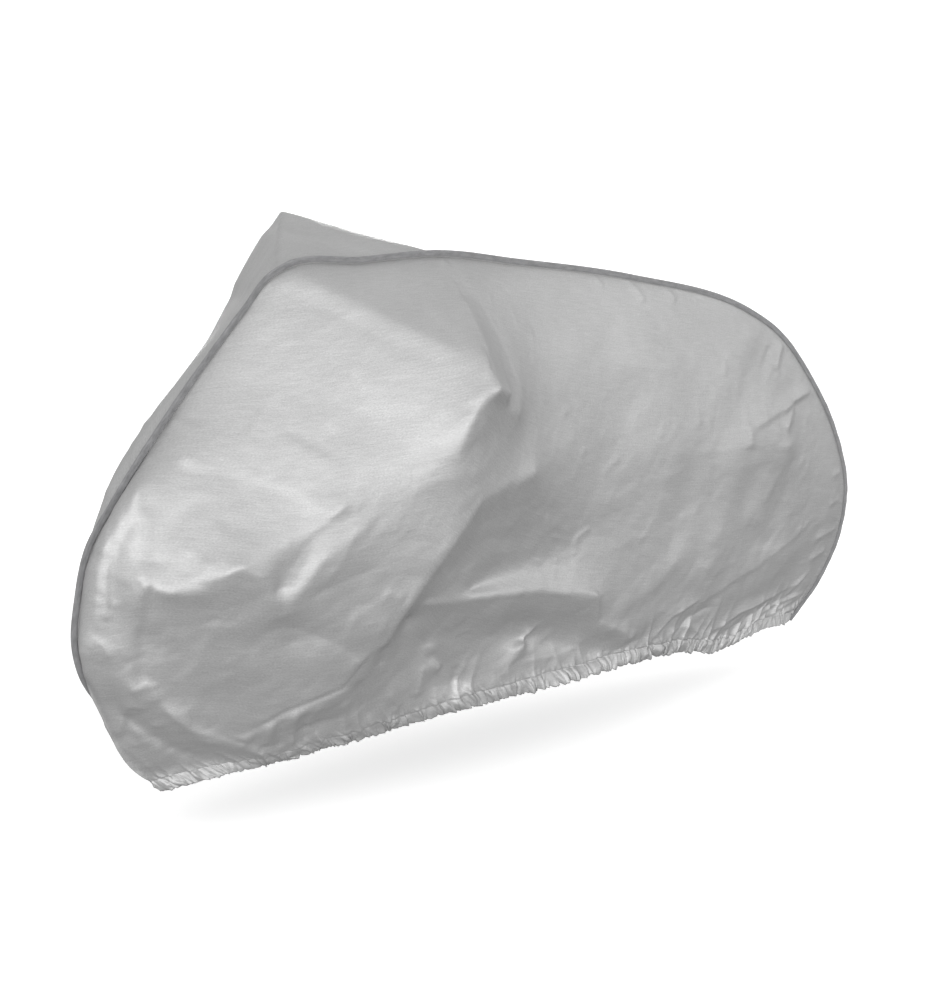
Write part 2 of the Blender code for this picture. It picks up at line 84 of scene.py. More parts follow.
# The grid of a side's cloth, and how it is stretched over its folds
COLUMNS = 440  # cells from front to rear
ROWS = 216  # cells from seam to casing
ROW_CROWDING = 1.4  # above 1, rows crowd towards the hem
CELL = 0.004  # mean size of a cell
FOLD_PULL = 60.0  # how firmly a fold line holds the cloth
FOLD_LINE = 0.004  # width of the line on which it is held
ROUND_STEPS = (0.004, 0.008, 0.016, 0.032, 0.064)  # sizes to which folds are rounded
ROUNDEST = 0.026  # of cloth far from any fold
SOFTENING = 0.32  # how fast the cloth gets rounder with the distance from a fold
COARSEST = 8  # fine cells in one of the coarsest grid, on which the work starts
PASSES = 60  # rounds of settling for each fine cell in a cell of the grid at hand
LINE_STEPS = 40  # steps in which the line through a place is found
NEAR, FAR = -1.0, 1.0
NEAR_RISE, FAR_RISE = 0.0, 0.6
RISE_FROM, RISE_FULL = -0.45, -0.12
NOSE_LEAD, LEAD_FROM, LEAD_FULL = 0.9, -0.25, -0.50

# How creases, gathers, puckers and the hem are shaped. A pair is the range from which each one is
# drawn, and the spreads of gathers, puckers, crumples and ruffles are times the tables' sizes.
CREASE_END = 0.22  # share of a crease over which it fades at either end
CREASE_PEAK = 1.8  # above 1, its slopes are hollow, as of cloth pinched along a line
CREASE_SPREAD = 1.9  # how many times wider it reaches than its steep part, which the tables give
CREASE_HEIGHT = 0.7  # how much of its height shows
SWELL_SPREAD = 1.5  # the same reach for swells
CRUMPLE_SPREAD = 1.3  # and for crumples
CRUMPLE_BEND = (-30.0, 30.0)  # degrees by which a crumple turns on its way
CRUMPLE_LENGTH, CRUMPLE_HEIGHT = (0.5, 1.5), (0.4, 1.3)
CRUMPLE_SLOPE = (5.0, 16.0)  # millimetres to either side
LATTICE = 64  # corners of a lattice of facets before it repeats
FACET_SHIFT = 0.45  # how far a facet's corners wander, by its size
FACET_WANDER = 0.6  # corners of that wandering to one of the facets
SEAM_HOLD = 0.012  # distance from the seam over which the cloth is still held
SHOWN_NEAR = 3.0  # pixels within which cloth is taken to lie at a pixel
SHOWN_SLACK = 0.01  # added to the nearest cloth's, where none lies so near
SHOWN_REACH = 0.05  # depth within which the nearest cloth is taken to be what shows
PUCKER_HOLD = 0.003  # distance from the seam over which the puckers start
RIDGE_PITCH, RIDGE_HEIGHT, RIDGE_REACH = (0.55, 1.45), (0.3, 1.25), (0.4, 1.4)
RIDGE_WIDTH = (0.25, 0.6)  # of gathers and puckers to either side, by their spacing
RIDGE_SLANT = (-0.35, 0.35)
RIDGE_FADE = 1.3  # above 1, they fade early
VALLEY = 0.4  # how deep the cloth lies between gathers and between ruffles, by their height
CRINKLE = 0.0011  # height of the casing's small crinkles
CRINKLE_ALONG, CRINKLE_DOWN = 0.008, 0.006  # their size
CRINKLE_REACH = 0.022  # how far they reach over the stitch line
RUFFLE_PITCH, RUFFLE_HEIGHT, RUFFLE_REACH = (0.45, 1.6), (0.15, 1.5), (0.4, 1.7)
RUFFLE_CREST = (0.3, 0.7)  # where a ruffle's crest lies, by its width
RUFFLE_KNOTS = 90  # places along the hem at which its ruffles change slant and reach
RUFFLE_SLANT = 0.9  # how far they run along the hem for each metre up
RUFFLE_ROUND = 2.2  # above 1, they are round outside and sharp between
RUFFLE_SIZES = ((1.0, 1.0), (0.35, 0.45))  # height and spacing of large and small ones
RUFFLE_LIFT = 0.45  # their height above the stitch line, by that below it
RUFFLE_HIGHEST = 0.9  # share of the strip up to which they reach
RUFFLE_SWAY = 0.5  # how far they lean along the hem, by their height
EDGE_SWAY = 0.6  # how uneven the casing's edge is, by their height
HELD_END = 0.005  # share of the hem over which its ends are held
HEM_OFFSET = 0.9  # where the strip's weave starts, as a way down the cloth

# Looks: base colours, roughness and the weave's threads and the tape's ribs to the metre
CLOTH_GREY = (0.45, 0.45, 0.45)
CLOTH_ROUGHNESS = 0.52
PATCHINESS = 0.05  # of that roughness
CLOTH_METALLIC = 0.45
TAPE_GREY = THREAD_GREY = (0.22, 0.22, 0.225)
TAPE_ROUGHNESS = 0.8
THREAD_ROUGHNESS = 0.6
FLOOR_GREY = (0.95, 0.95, 0.95)
FLOOR_ROUGHNESS = 0.9
FLOOR_GLOW = 0.45  # what it gives out, so that its shadows stay pale
WEAVE = 800.0
RIBS = 420.0
TWIST = 900.0  # turns of the thread to the metre
# Noises on the cloth and the tape: cells to the metre along and down, detail and roughness
STREAKS, BROAD, SPECKLE = (22.0, 380.0, 3.0, 0.6), (5.0, 5.0, 3.0), (300.0, 460.0, 2.0)
PATCHES, CRUSH, GRAIN = (28.0, 28.0, 3.0), (34.0, 60.0, 4.0, 0.55), (500.0, 700.0, 1.0)
WEAR, TAPE_GRAIN = (60.0, 160.0, 4.0), (900.0, 1500.0, 2.0)
# The range of grey that each brings, times the base colour, and their relief and others' (metres)
STREAK_TINT, BROAD_TINT, SPECKLE_TINT = (0.92, 1.08), (0.94, 1.05), (0.87, 1.13)
WEAR_TINT = (0.75, 1.3)
CRUSH_RELIEF, STREAK_RELIEF, GRAIN_RELIEF, WEAVE_RELIEF = 0.0007, 0.0001, 0.00008, 0.00002
RIB_RELIEF, TAPE_GRAIN_RELIEF, TWIST_RELIEF = 0.0002, 0.0002, 0.0001
SHEEN, SHEEN_ROUGHNESS = 0.25, 0.5  # of the tape

# Lights, as the way to each one, its strength and how wide it is (degrees), and the camera's film
LIGHTS = (
    ("front_light", (-1.0, -0.85, 0.12), 1.76, 16.0),
    ("near_light", (-0.15, -1.0, 0.3), 0.92, 20.0),
    ("rear_light", (0.9, -0.6, 0.4), 0.30, 30.0),
    ("back_light", (0.6, 1.0, 0.0), 1.7, 20.0),
)
SURROUND_ABOVE, SURROUND_BELOW = 0.71, 0.22
ABOVE_FROM, BELOW_FROM = 0.15, -0.35  # height of the sky at which each one is full
SENSOR = 36.0  # height of the film (millimetres)
IMAGE_HEIGHT = 1000.0  # pixels of the picture's height
SIGHT = 300.0  # how far the camera sees

# The middle of the binding, a row for each stretch: x, z, how far it strays to the far side, and by
# how many degrees it leans to that side
NOSE_SEAM = (
    ("front hem end", -0.43, -0.838, 0.022, 21.0),
    ("under the nose", -0.49, -0.782, 0.022, 21.0),
    ("low nose", -0.545, -0.684, 0.016, 25.0),
    ("nose", -0.58, -0.622, 0.005, 23.0),
    ("nose tip", -0.592, -0.568, 0.0, 18.0),
    ("nose top", -0.582, -0.488, 0.0, 12.0),
    ("nose bend", -0.56, -0.41, 0.0, 4.0),
    ("front slope low", -0.51, -0.338, 0.0, 0.0),
    ("front slope", -0.4, -0.203, 0.0, -10.0),
    ("front slope high", -0.257, -0.049, 0.0, -13.0),
    ("brow", -0.212, -0.003, 0.0, -12.0),
)
TOP_SEAM = (
    ("behind the brow", -0.18, 0.012, 0.0, -14.0),
    ("top", -0.03, 0.009, 0.0, -19.0),
    ("apex", 0.136, 0.005, 0.0, -17.0),
    ("behind the apex", 0.3, -0.025, 0.0, -12.0),
    ("rear slope", 0.567, -0.079, 0.0, -4.0),
    ("rear slope low", 0.879, -0.178, 0.0, 0.0),
)
TAIL_SEAM = (
    ("tail bend", 0.953, -0.224, 0.0, 0.0),
    ("upper tail", 1.057, -0.337, 0.0, 1.0),
    ("tail", 1.135, -0.463, 0.0, 1.0),
    ("tail end", 1.173, -0.59, 0.0, 1.0),
    ("tail turn", 1.153, -0.697, 0.0, 0.0),
    ("tail low", 1.098, -0.782, 0.0, 0.0),
    ("rear hem end", 1.03, -0.85, 0.004, 3.0),
)

# The hem on either side between its two ends at the seam: x, out, z
NEAR_HEM = (
    ("front edge", -0.45, 0.0, -0.852),
    ("front turn", -0.425, 0.034, -0.842),
    ("front", -0.36, 0.06, -0.83),
    ("front middle", -0.25, 0.066, -0.83),
    ("behind the front", -0.13, 0.085, -0.818),
    ("fore middle", 0.0, 0.11, -0.803),
    ("middle", 0.18, 0.125, -0.795),
    ("middle rear", 0.35, 0.125, -0.795),
    ("aft middle", 0.5, 0.105, -0.8),
    ("before the rear", 0.64, 0.08, -0.815),
    ("rear", 0.78, 0.05, -0.848),
    ("rear middle", 0.9, 0.042, -0.835),
    ("rear turn", 0.985, 0.03, -0.838),
)
FAR_HEM = (
    ("front turn", -0.43, 0.06, -0.836),
    ("front", -0.36, 0.08, -0.82),
    ("front middle", -0.25, 0.09, -0.822),
    ("behind the front", -0.12, 0.105, -0.806),
    ("fore middle", 0.01, 0.13, -0.79),
    ("middle", 0.19, 0.14, -0.78),
    ("middle rear", 0.35, 0.13, -0.785),
    ("aft middle", 0.5, 0.11, -0.8),
    ("before the rear", 0.65, 0.08, -0.81),
    ("rear", 0.78, 0.06, -0.835),
    ("rear middle", 0.9, 0.045, -0.828),
    ("rear turn", 0.985, 0.03, -0.838),
)

# The view in which the folds of the near side were measured, on a picture 951 pixels wide and 1000
# high: where it is seen from, its turn from +X towards +Y and its dip (degrees), and in pixels its
# focal length and middle
VIEW_PLACE = (-1.940, -2.950, 0.565)
VIEW_TURN = 53.9
VIEW_DIP = 15.6
VIEW_FOCAL = 2080.0
VIEW_MIDDLE = (475.5, 500.0)

# Fold lines of the near side that show in that view: how round the fold is, and its points, each by
# its pixels across and down and by how far out it lies (metres)
SEEN_FOLDS = (
    ("shoulder ridge", 0.014, (279, 265, 0.006), (490, 365, 0.238)),
    ("apex ridge", 0.002, (443, 257, 0.006), (460, 297, 0.092), (485, 350, 0.2), (491, 374, 0.245)),
    ("end of the ridge", 0.002, (491, 374, 0.245), (501, 390, 0.265), (511, 394, 0.244)),
    ("under the hook", 0.01, (492, 406, 0.254), (522, 414, 0.212)),
    ("behind the ridge", 0.012, (474, 290, 0.07), (506, 350, 0.14), (521, 388, 0.178)),
    ("tent side", 0.016, (484, 402, 0.262), (472, 426, 0.262), (460, 455, 0.258),
     (474, 494, 0.252)),
    ("tent edge", 0.001, (480, 500, 0.25), (449, 548, 0.243), (411, 603, 0.222), (384, 641, 0.195)),
    ("tent foot", 0.002, (384, 641, 0.195), (361, 662, 0.175), (344, 690, 0.15), (300, 711, 0.125)),
    ("tent foot front", 0.002, (300, 711, 0.125), (243, 737, 0.092)),
    ("under the foot", 0.012, (392, 690, 0.138), (350, 716, 0.112), (302, 730, 0.092)),
    ("pocket lip", 0.002, (478, 499, 0.25), (505, 486, 0.228), (534, 474, 0.205)),
    ("pocket floor", 0.044, (468, 586, 0.17), (520, 562, 0.152), (566, 552, 0.134)),
    ("pocket side", 0.01, (534, 474, 0.205), (556, 510, 0.155), (578, 542, 0.135),
     (600, 590, 0.145)),
    ("band lip", 0.002, (428, 602, 0.2), (490, 596, 0.185), (536, 591, 0.172), (597, 597, 0.16)),
    ("band end", 0.003, (597, 597, 0.16), (597, 621, 0.138), (631, 636, 0.125)),
    ("band floor", 0.02, (480, 636, 0.128), (560, 640, 0.108), (592, 650, 0.104)),
    ("facet ridge", 0.002, (537, 627, 0.135), (512, 662, 0.13), (496, 680, 0.125)),
    ("hem step", 0.004, (512, 665, 0.128), (555, 656, 0.116)),
    ("hem step rear", 0.004, (577, 666, 0.108), (620, 650, 0.106), (664, 629, 0.101)),
    ("diagonal trough", 0.004, (406, 618, 0.17), (430, 655, 0.132), (452, 680, 0.112)),
    ("diagonal tip", 0.01, (432, 650, 0.158), (444, 669, 0.145)),
    ("dent lip front", 0.002, (150, 588, 0.118), (178, 593, 0.142), (207, 590, 0.158)),
    ("dent lip", 0.002, (207, 590, 0.158), (245, 569, 0.182), (264, 576, 0.182), (283, 612, 0.172)),
    ("dent floor", 0.03, (160, 646, 0.094), (205, 650, 0.122), (240, 644, 0.137),
     (268, 656, 0.144)),
    ("dent side", 0.006, (150, 588, 0.118), (140, 630, 0.088), (136, 686, 0.072)),
    ("bright ridge", 0.003, (366, 530, 0.212), (326, 562, 0.198), (285, 613, 0.172)),
    ("valley beside it", 0.01, (346, 508, 0.204), (306, 540, 0.182), (276, 590, 0.164)),
    ("under that ridge", 0.012, (290, 640, 0.142), (335, 640, 0.172)),
    ("second ridge", 0.016, (337, 584, 0.192), (404, 600, 0.217)),
    ("low ridge", 0.002, (136, 690, 0.072), (153, 686, 0.082), (178, 716, 0.086),
     (207, 737, 0.086)),
    ("low ridge rear", 0.002, (207, 737, 0.086), (262, 752, 0.082)),
    ("front hollow", 0.006, (122, 716, 0.026), (150, 738, 0.04), (200, 764, 0.046)),
    ("nose ridge", 0.004, (138, 492, 0.066), (147, 560, 0.1), (150, 588, 0.118)),
    ("beside nose ridge", 0.02, (108, 516, 0.048), (104, 556, 0.056), (106, 600, 0.06),
     (103, 646, 0.054)),
)

# Fold lines by their real places: from (x, out, z) to (x, out, z), and how round the fold is. On
# the near side they are the soft ones, which show as no line.
SOFT_FOLDS = (
    ("nose wrap", -0.578, 0.004, -0.64, -0.536, 0.002, -0.746, 0.004),
    ("nose wrap low", -0.536, 0.002, -0.746, -0.476, 0.002, -0.835, 0.004),
    ("rear side high", 0.36, 0.088, -0.2, 0.62, 0.07, -0.25, 0.022),
    ("rear side", 0.42, 0.122, -0.4, 0.75, 0.096, -0.42, 0.022),
    ("tail side", 0.75, 0.096, -0.42, 0.95, 0.068, -0.45, 0.022),
    ("rear side low", 0.55, 0.122, -0.6, 0.72, 0.1, -0.65, 0.022),
    ("tail side low", 0.72, 0.1, -0.65, 0.93, 0.062, -0.68, 0.022),
)
FAR_FOLDS = (
    ("peak to brow", -0.195, 0.006, 0.0, -0.03, 0.262, 0.064, 0.004),
    ("peak to apex", -0.03, 0.262, 0.064, 0.07, 0.12, 0.022, 0.006),
    ("peak to apex low", 0.07, 0.12, 0.022, 0.145, 0.008, 0.0, 0.006),
    ("peak to nose", -0.03, 0.262, 0.064, -0.29, 0.128, -0.17, 0.008),
    ("peak to nose low", -0.29, 0.128, -0.17, -0.555, 0.012, -0.415, 0.008),
    ("side of the peak", -0.025, 0.268, 0.05, 0.0, 0.27, -0.24, 0.016),
    ("tent edge", 0.0, 0.27, -0.24, -0.06, 0.232, -0.54, 0.004),
    ("tent foot", -0.06, 0.232, -0.54, -0.14, 0.15, -0.73, 0.004),
    ("behind the tent", 0.09, 0.205, -0.36, 0.01, 0.16, -0.6, 0.008),
    ("rear swag", 0.05, 0.235, -0.11, 0.48, 0.13, -0.47, 0.01),
    ("swag foot", 0.48, 0.13, -0.47, 0.56, 0.115, -0.69, 0.01),
    ("under the swag", 0.17, 0.15, -0.33, 0.41, 0.092, -0.59, 0.012),
    ("side bulge", 0.23, 0.16, -0.54, 0.34, 0.15, -0.65, 0.016),
    ("front dent lip", -0.48, 0.105, -0.43, -0.27, 0.175, -0.5, 0.003),
    ("front dent", -0.45, 0.085, -0.48, -0.28, 0.14, -0.56, 0.008),
    ("front low ridge", -0.5, 0.072, -0.66, -0.29, 0.105, -0.77, 0.003),
    ("rear upper side", 0.33, 0.09, -0.18, 0.62, 0.07, -0.24, 0.02),
    ("rear ridge", 0.7, 0.112, -0.38, 0.64, 0.1, -0.72, 0.01),
    ("rear trough", 0.79, 0.072, -0.42, 0.74, 0.068, -0.68, 0.01),
    ("tail ridge", 0.88, 0.082, -0.43, 0.87, 0.066, -0.72, 0.01),
    ("tail hem fold", 1.01, 0.03, -0.74, 0.8, 0.066, -0.79, 0.004),
)

# Creases of the near side that show in the view: height (millimetres, below 0 for a trough), how
# far the cloth slopes to its left and to its right (millimetres), and its points (pixels across and
# down)
SEEN_CREASES = (
    ("apex line top", 2, 8, 16, (443, 257), (455, 278), (463, 297)),
    ("apex line", 7, 28, 36, (458, 289), (470, 317), (478, 335), (486, 354), (493, 374)),
    ("upper facet", 7, 30, 20, (173, 413), (187, 470)),
    ("upper facet foot", -2, 10, 12, (157, 452), (187, 460)),
    ("beside the facet", -3, 12, 10, (173, 416), (150, 458)),
    ("nose facet", 5, 20, 22, (144, 505), (153, 566)),
    ("nose facet low", 4, 14, 20, (153, 560), (151, 590)),
    ("left of nose facet", -2, 12, 12, (143, 507), (119, 545), (116, 572)),
    ("tape side strip", 3, 14, 10, (95, 556), (94, 632)),
    ("tape side valley", -2, 10, 12, (112, 528), (104, 590)),
    ("tape side facet", 3, 12, 8, (108, 524), (94, 553)),
    ("zigzag", 3, 8, 8, (104, 622), (116, 598)),
    ("zigzag low", 2.5, 8, 8, (100, 640), (110, 660)),
    ("over the dent", 4, 14, 10, (207, 556), (199, 586)),
    ("over the dent front", -3, 10, 12, (188, 552), (186, 580)),
    ("over the dent rear", -2, 12, 10, (222, 560), (214, 588)),
    ("fine slope line", 2, 12, 10, (263, 405), (239, 452)),
    ("fine slope line low", 1.5, 10, 10, (287, 432), (262, 470)),
    ("dent crease", -3, 16, 10, (268, 622), (331, 641), (362, 659)),
    ("dent middle", -2, 20, 24, (262, 640), (206, 668)),
    ("low triangle", 3, 12, 8, (133, 690), (153, 682)),
    ("low triangle side", 3, 12, 10, (153, 682), (158, 704)),
    ("low ridge spur", 2.5, 10, 10, (187, 706), (190, 726)),
    ("low ridge bright", 5, 14, 6, (154, 700), (192, 730), (260, 751)),
    ("hollow rim", 6, 14, 7, (115, 738), (130, 706), (152, 708)),
    ("hollow band", 3, 12, 12, (117, 741), (150, 768)),
    ("hollow low", -4, 14, 12, (165, 742), (176, 778)),
    ("low fold tip", 3, 8, 10, (243, 737), (262, 752)),
    ("low fold facet", 4, 10, 12, (271, 722), (266, 748)),
    ("low fold valley", -4, 10, 10, (281, 720), (280, 752)),
    ("low fold flute", 5, 8, 10, (297, 711), (294, 756)),
    ("low fold side", -4, 12, 12, (309, 712), (306, 748)),
    ("fold front", 3, 14, 10, (324, 704), (303, 727)),
    ("bright edge", 3, 24, 12, (361, 523), (339, 564), (322, 588)),
    ("bright foot", -3, 14, 14, (304, 603), (338, 583), (380, 566)),
    ("edge triangle", 3, 14, 18, (384, 592), (406, 601)),
    ("pocket inner", 4, 14, 24, (534, 511), (574, 539)),
    ("pocket tip", 4, 6, 10, (574, 540), (590, 527)),
    ("pocket tip drop", 3, 10, 12, (574, 539), (575, 556)),
    ("pocket inner line", 3, 5, 12, (548, 536), (574, 541)),
    ("pocket side line", 2, 16, 16, (520, 566), (560, 575)),
    ("facet ridge line", 3, 16, 22, (537, 626), (512, 662), (496, 684)),
    ("step line", 2, 5, 14, (512, 665), (559, 655), (590, 644)),
    ("step drop", 2, 10, 8, (559, 655), (554, 674)),
    ("trough rear", 2, 16, 22, (411, 613), (430, 647), (442, 668), (458, 677)),
    ("facet line", 3, 14, 16, (471, 656), (486, 693)),
    ("facet valley", -4, 12, 12, (456, 664), (460, 700)),
    ("fore trough", -4, 12, 12, (386, 645), (381, 668)),
    ("fore trough low", -6, 14, 14, (357, 680), (372, 724)),
    ("fore flute", 4, 12, 12, (345, 700), (350, 728)),
    ("curved bit", 4, 8, 8, (388, 693), (398, 706), (392, 716)),
    ("round flute", 5, 12, 12, (426, 664), (416, 700)),
    ("round flute rear", 3, 8, 8, (470, 690), (452, 702)),
    ("tail line", 5, 18, 7, (749, 432), (786, 408), (815, 386)),
    ("tail facet", 7, 12, 16, (794, 404), (786, 434)),
    ("tail spot", 5, 16, 20, (748, 420), (752, 450)),
    ("long fold", 3, 24, 8, (668, 624), (736, 579), (793, 538), (826, 506)),
    ("crisp fold", 4, 20, 6, (725, 628), (760, 601), (796, 584), (814, 567)),
    ("third fold", 4, 8, 8, (770, 613), (809, 571)),
    ("tail flute", 4, 8, 8, (778, 626), (800, 606)),
    ("tail gather", 5, 10, 8, (812, 540), (838, 527)),
    ("tail gather low", 4, 8, 8, (808, 560), (826, 548)),
    ("tail gather side", 4, 8, 8, (818, 590), (806, 612)),
    ("tail nick", 3, 8, 8, (832, 476), (843, 470)),
    ("tail nick low", 3, 8, 8, (828, 506), (840, 498)),
    ("back pucker", 4, 12, 10, (629, 279), (646, 304)),
    ("back pucker front", 2.5, 10, 10, (591, 272), (604, 286)),
    ("back pucker rear", 3, 10, 10, (667, 288), (676, 302)),
    ("back scratch", 2, 6, 8, (586, 448), (579, 458)),
    ("back scratch low", 2, 8, 8, (622, 455), (600, 476)),
    ("far rear line", 2, 8, 8, (724, 358), (726, 378)),
    ("dent lobe", 4, 5, 8, (246, 570), (262, 577), (272, 596), (284, 612)),
    ("band lip line", 3, 16, 6, (455, 600), (490, 596), (536, 591), (597, 597)),
    ("band end line", 4, 12, 5, (597, 592), (597, 625)),
    ("band end low", 3, 12, 6, (597, 621), (631, 636)),
    ("foot line", -4, 5, 14, (243, 737), (290, 712), (344, 690), (384, 641)),
    ("rear gather", 6, 12, 6, (700, 640), (740, 612), (782, 592)),
    ("rear gather valley", -5, 6, 10, (714, 640), (754, 614), (800, 590)),
    ("rear gather middle", 6, 10, 5, (735, 634), (770, 607), (806, 590)),
    ("rear gather low", 5, 8, 5, (757, 630), (786, 605), (814, 594)),
    ("rear gather tail", 5, 8, 5, (779, 624), (802, 601), (824, 577)),
    ("rear gather front", 6, 12, 6, (650, 642), (672, 616), (702, 596)),
    ("rear gather foot", -5, 8, 8, (672, 640), (690, 618), (716, 604)),
    ("seam wedge", 5, 8, 20, (783, 340), (776, 372)),
    ("seam wedge low", 5, 8, 16, (814, 390), (793, 401), (779, 418)),
    ("bulge", 4, 8, 10, (662, 640), (673, 631), (690, 626), (704, 640)),
    ("bulge low", 3, 8, 8, (688, 642), (700, 650)),
)

# Soft swells and hollows of the near side that show in the view, in the same columns
SEEN_SWELLS = (
    ("rear valley", -5, 44, 44, (779, 337), (736, 414), (692, 472), (671, 545), (666, 600)),
    ("rear ridge", 4, 40, 40, (738, 426), (728, 500), (712, 560), (686, 620)),
    ("tail hollow", -4, 36, 36, (806, 430), (780, 500), (770, 560)),
    ("tail swell", 3, 30, 30, (770, 470), (752, 532)),
    ("hem sweep", 3, 30, 22, (604, 620), (650, 588), (700, 540)),
    ("tent side", 2, 40, 30, (481, 410), (464, 448), (470, 490)),
    ("pocket plane", 3, 40, 30, (500, 540), (462, 590)),
    ("trough beside the hem", -4, 24, 20, (400, 618), (424, 668), (444, 700)),
    ("nose swell", 3, 40, 30, (120, 560), (150, 640)),
    ("dent swell", 2, 50, 50, (190, 650), (250, 660)),
    ("band hollow", -6, 30, 30, (490, 626), (560, 630), (592, 634)),
    ("tent low swell", 4, 26, 36, (345, 622), (392, 628)),
    ("front hollow", -3, 40, 40, (250, 470), (230, 540)),
    ("front swell", 3, 40, 40, (310, 440), (290, 500)),
    ("shoulder hollow", -2, 50, 50, (330, 400), (420, 440)),
    ("back hollow", -3, 70, 70, (590, 330), (640, 420)),
    ("back swell", 3, 60, 60, (560, 420), (610, 520)),
)

# Facets of the cloth: their size (millimetres), how many times longer than wide, the way they run
# (degrees from +X upwards) and height (millimetres), and how much of it shows at each level z
FACETS = (
    ("broad", 95, 1.7, 58, 2.2),
    ("middle", 42, 1.6, 20, 1.35),
    ("small", 19, 1.4, 72, 0.55),
    ("finest", 9, 1.5, 35, 0.16),
)
FACET_LEVELS = (
    ("under the hem", -1.0, 1.3),
    ("hem", -0.8, 1.25),
    ("low", -0.6, 1.0),
    ("middle", -0.35, 0.75),
    ("shoulder", -0.1, 0.4),
    ("peak", 0.07, 0.4),
)

# Creases of the far side: height and slopes as above, then its points (x, z)
FAR_CREASES = (
    ("peak fold", 4, 26, 18, (-0.01, 0.01), (0.02, -0.17)),
    ("peak fold low", 4, 20, 20, (0.015, -0.19), (-0.02, -0.38)),
    ("tent edge line", 4, 12, 22, (0.0, -0.27), (-0.055, -0.53), (-0.12, -0.69)),
    ("swag line", 5, 18, 26, (0.08, -0.14), (0.29, -0.33), (0.48, -0.47)),
    ("swag line low", 4, 20, 16, (0.12, -0.31), (0.3, -0.47), (0.4, -0.6)),
    ("swag tip", 4, 10, 14, (0.43, -0.455), (0.51, -0.475)),
    ("swag foot line", 4, 14, 18, (0.49, -0.5), (0.555, -0.69)),
    ("side pocket", -4, 20, 24, (0.16, -0.42), (0.27, -0.56)),
    ("side pocket rim", 4, 8, 18, (0.13, -0.585), (0.25, -0.565), (0.36, -0.6)),
    ("low band", 4, 8, 16, (-0.02, -0.64), (0.14, -0.665), (0.28, -0.655)),
    ("low facet", 4, 14, 16, (0.19, -0.66), (0.13, -0.76)),
    ("front dent line", 4, 8, 18, (-0.5, -0.43), (-0.4, -0.455), (-0.28, -0.44)),
    ("front dent side", -3, 16, 14, (-0.49, -0.47), (-0.5, -0.61)),
    ("front ridge", 5, 16, 18, (-0.27, -0.33), (-0.33, -0.43), (-0.37, -0.54)),
    ("front low line", 4, 10, 12, (-0.5, -0.66), (-0.4, -0.72), (-0.3, -0.77)),
    ("front triangle", 5, 22, 16, (-0.4, -0.23), (-0.39, -0.3)),
    ("tail hem line", 5, 12, 10, (0.7, -0.75), (0.86, -0.7), (1.02, -0.62)),
    ("tail hem line low", 4, 9, 9, (0.82, -0.79), (0.93, -0.745), (1.03, -0.71)),
    ("back pucker", 3, 12, 10, (0.45, -0.075), (0.48, -0.12)),
    ("back pucker rear", 3, 10, 12, (0.7, -0.14), (0.72, -0.19)),
)

# Soft swells and hollows of the far side, likewise
FAR_SWELLS = (
    ("rear fold", 4, 40, 40, (0.69, -0.33), (0.68, -0.5), (0.62, -0.7)),
    ("rear hollow", -5, 44, 44, (0.84, -0.25), (0.76, -0.42), (0.72, -0.6)),
    ("tail fold", 3, 34, 34, (0.93, -0.36), (0.9, -0.52), (0.93, -0.7)),
    ("back hollow", -3, 70, 70, (0.33, -0.2), (0.47, -0.32)),
    ("front hollow", -3, 50, 50, (-0.38, -0.3), (-0.33, -0.42)),
    ("peak shoulder", 5, 60, 60, (-0.05, 0.04), (-0.11, -0.01), (-0.18, -0.08)),
    ("low swell", 3, 50, 50, (-0.42, -0.6), (-0.25, -0.68)),
)

# Small crumples: how many, height and length (millimetres), the way they run (degrees from +X
# upwards) and how far that wanders, and the patch (x, z, reach along x, reach along z) they lie in
NEAR_CRUMPLES = (
    ("nose", 26, 1.3, 32, 60, 50, (-0.52, -0.48, 0.07, 0.17)),
    ("front slope", 14, 0.8, 50, 40, 30, (-0.33, -0.23, 0.12, 0.13)),
    ("front face", 18, 0.8, 45, 75, 40, (-0.33, -0.36, 0.14, 0.11)),
    ("dent", 14, 1.0, 45, 10, 40, (-0.4, -0.6, 0.13, 0.09)),
    ("low front", 16, 1.3, 34, 10, 60, (-0.4, -0.74, 0.13, 0.06)),
    ("shoulder", 14, 0.7, 60, 5, 30, (-0.02, -0.06, 0.14, 0.06)),
    ("tent face", 20, 0.7, 60, 65, 35, (-0.09, -0.33, 0.12, 0.17)),
    ("behind the ridge", 14, 0.8, 50, 80, 40, (0.2, -0.2, 0.08, 0.15)),
    ("pocket", 16, 1.2, 40, -30, 50, (0.18, -0.48, 0.13, 0.08)),
    ("band", 16, 1.1, 36, -10, 50, (0.18, -0.67, 0.2, 0.06)),
    ("back", 18, 0.7, 50, 20, 50, (0.48, -0.21, 0.22, 0.09)),
    ("rear side", 22, 0.8, 50, 60, 40, (0.56, -0.45, 0.18, 0.15)),
    ("rear low", 22, 1.1, 45, 25, 25, (0.74, -0.68, 0.2, 0.08)),
    ("tail", 26, 1.2, 40, 35, 40, (0.96, -0.45, 0.11, 0.19)),
)
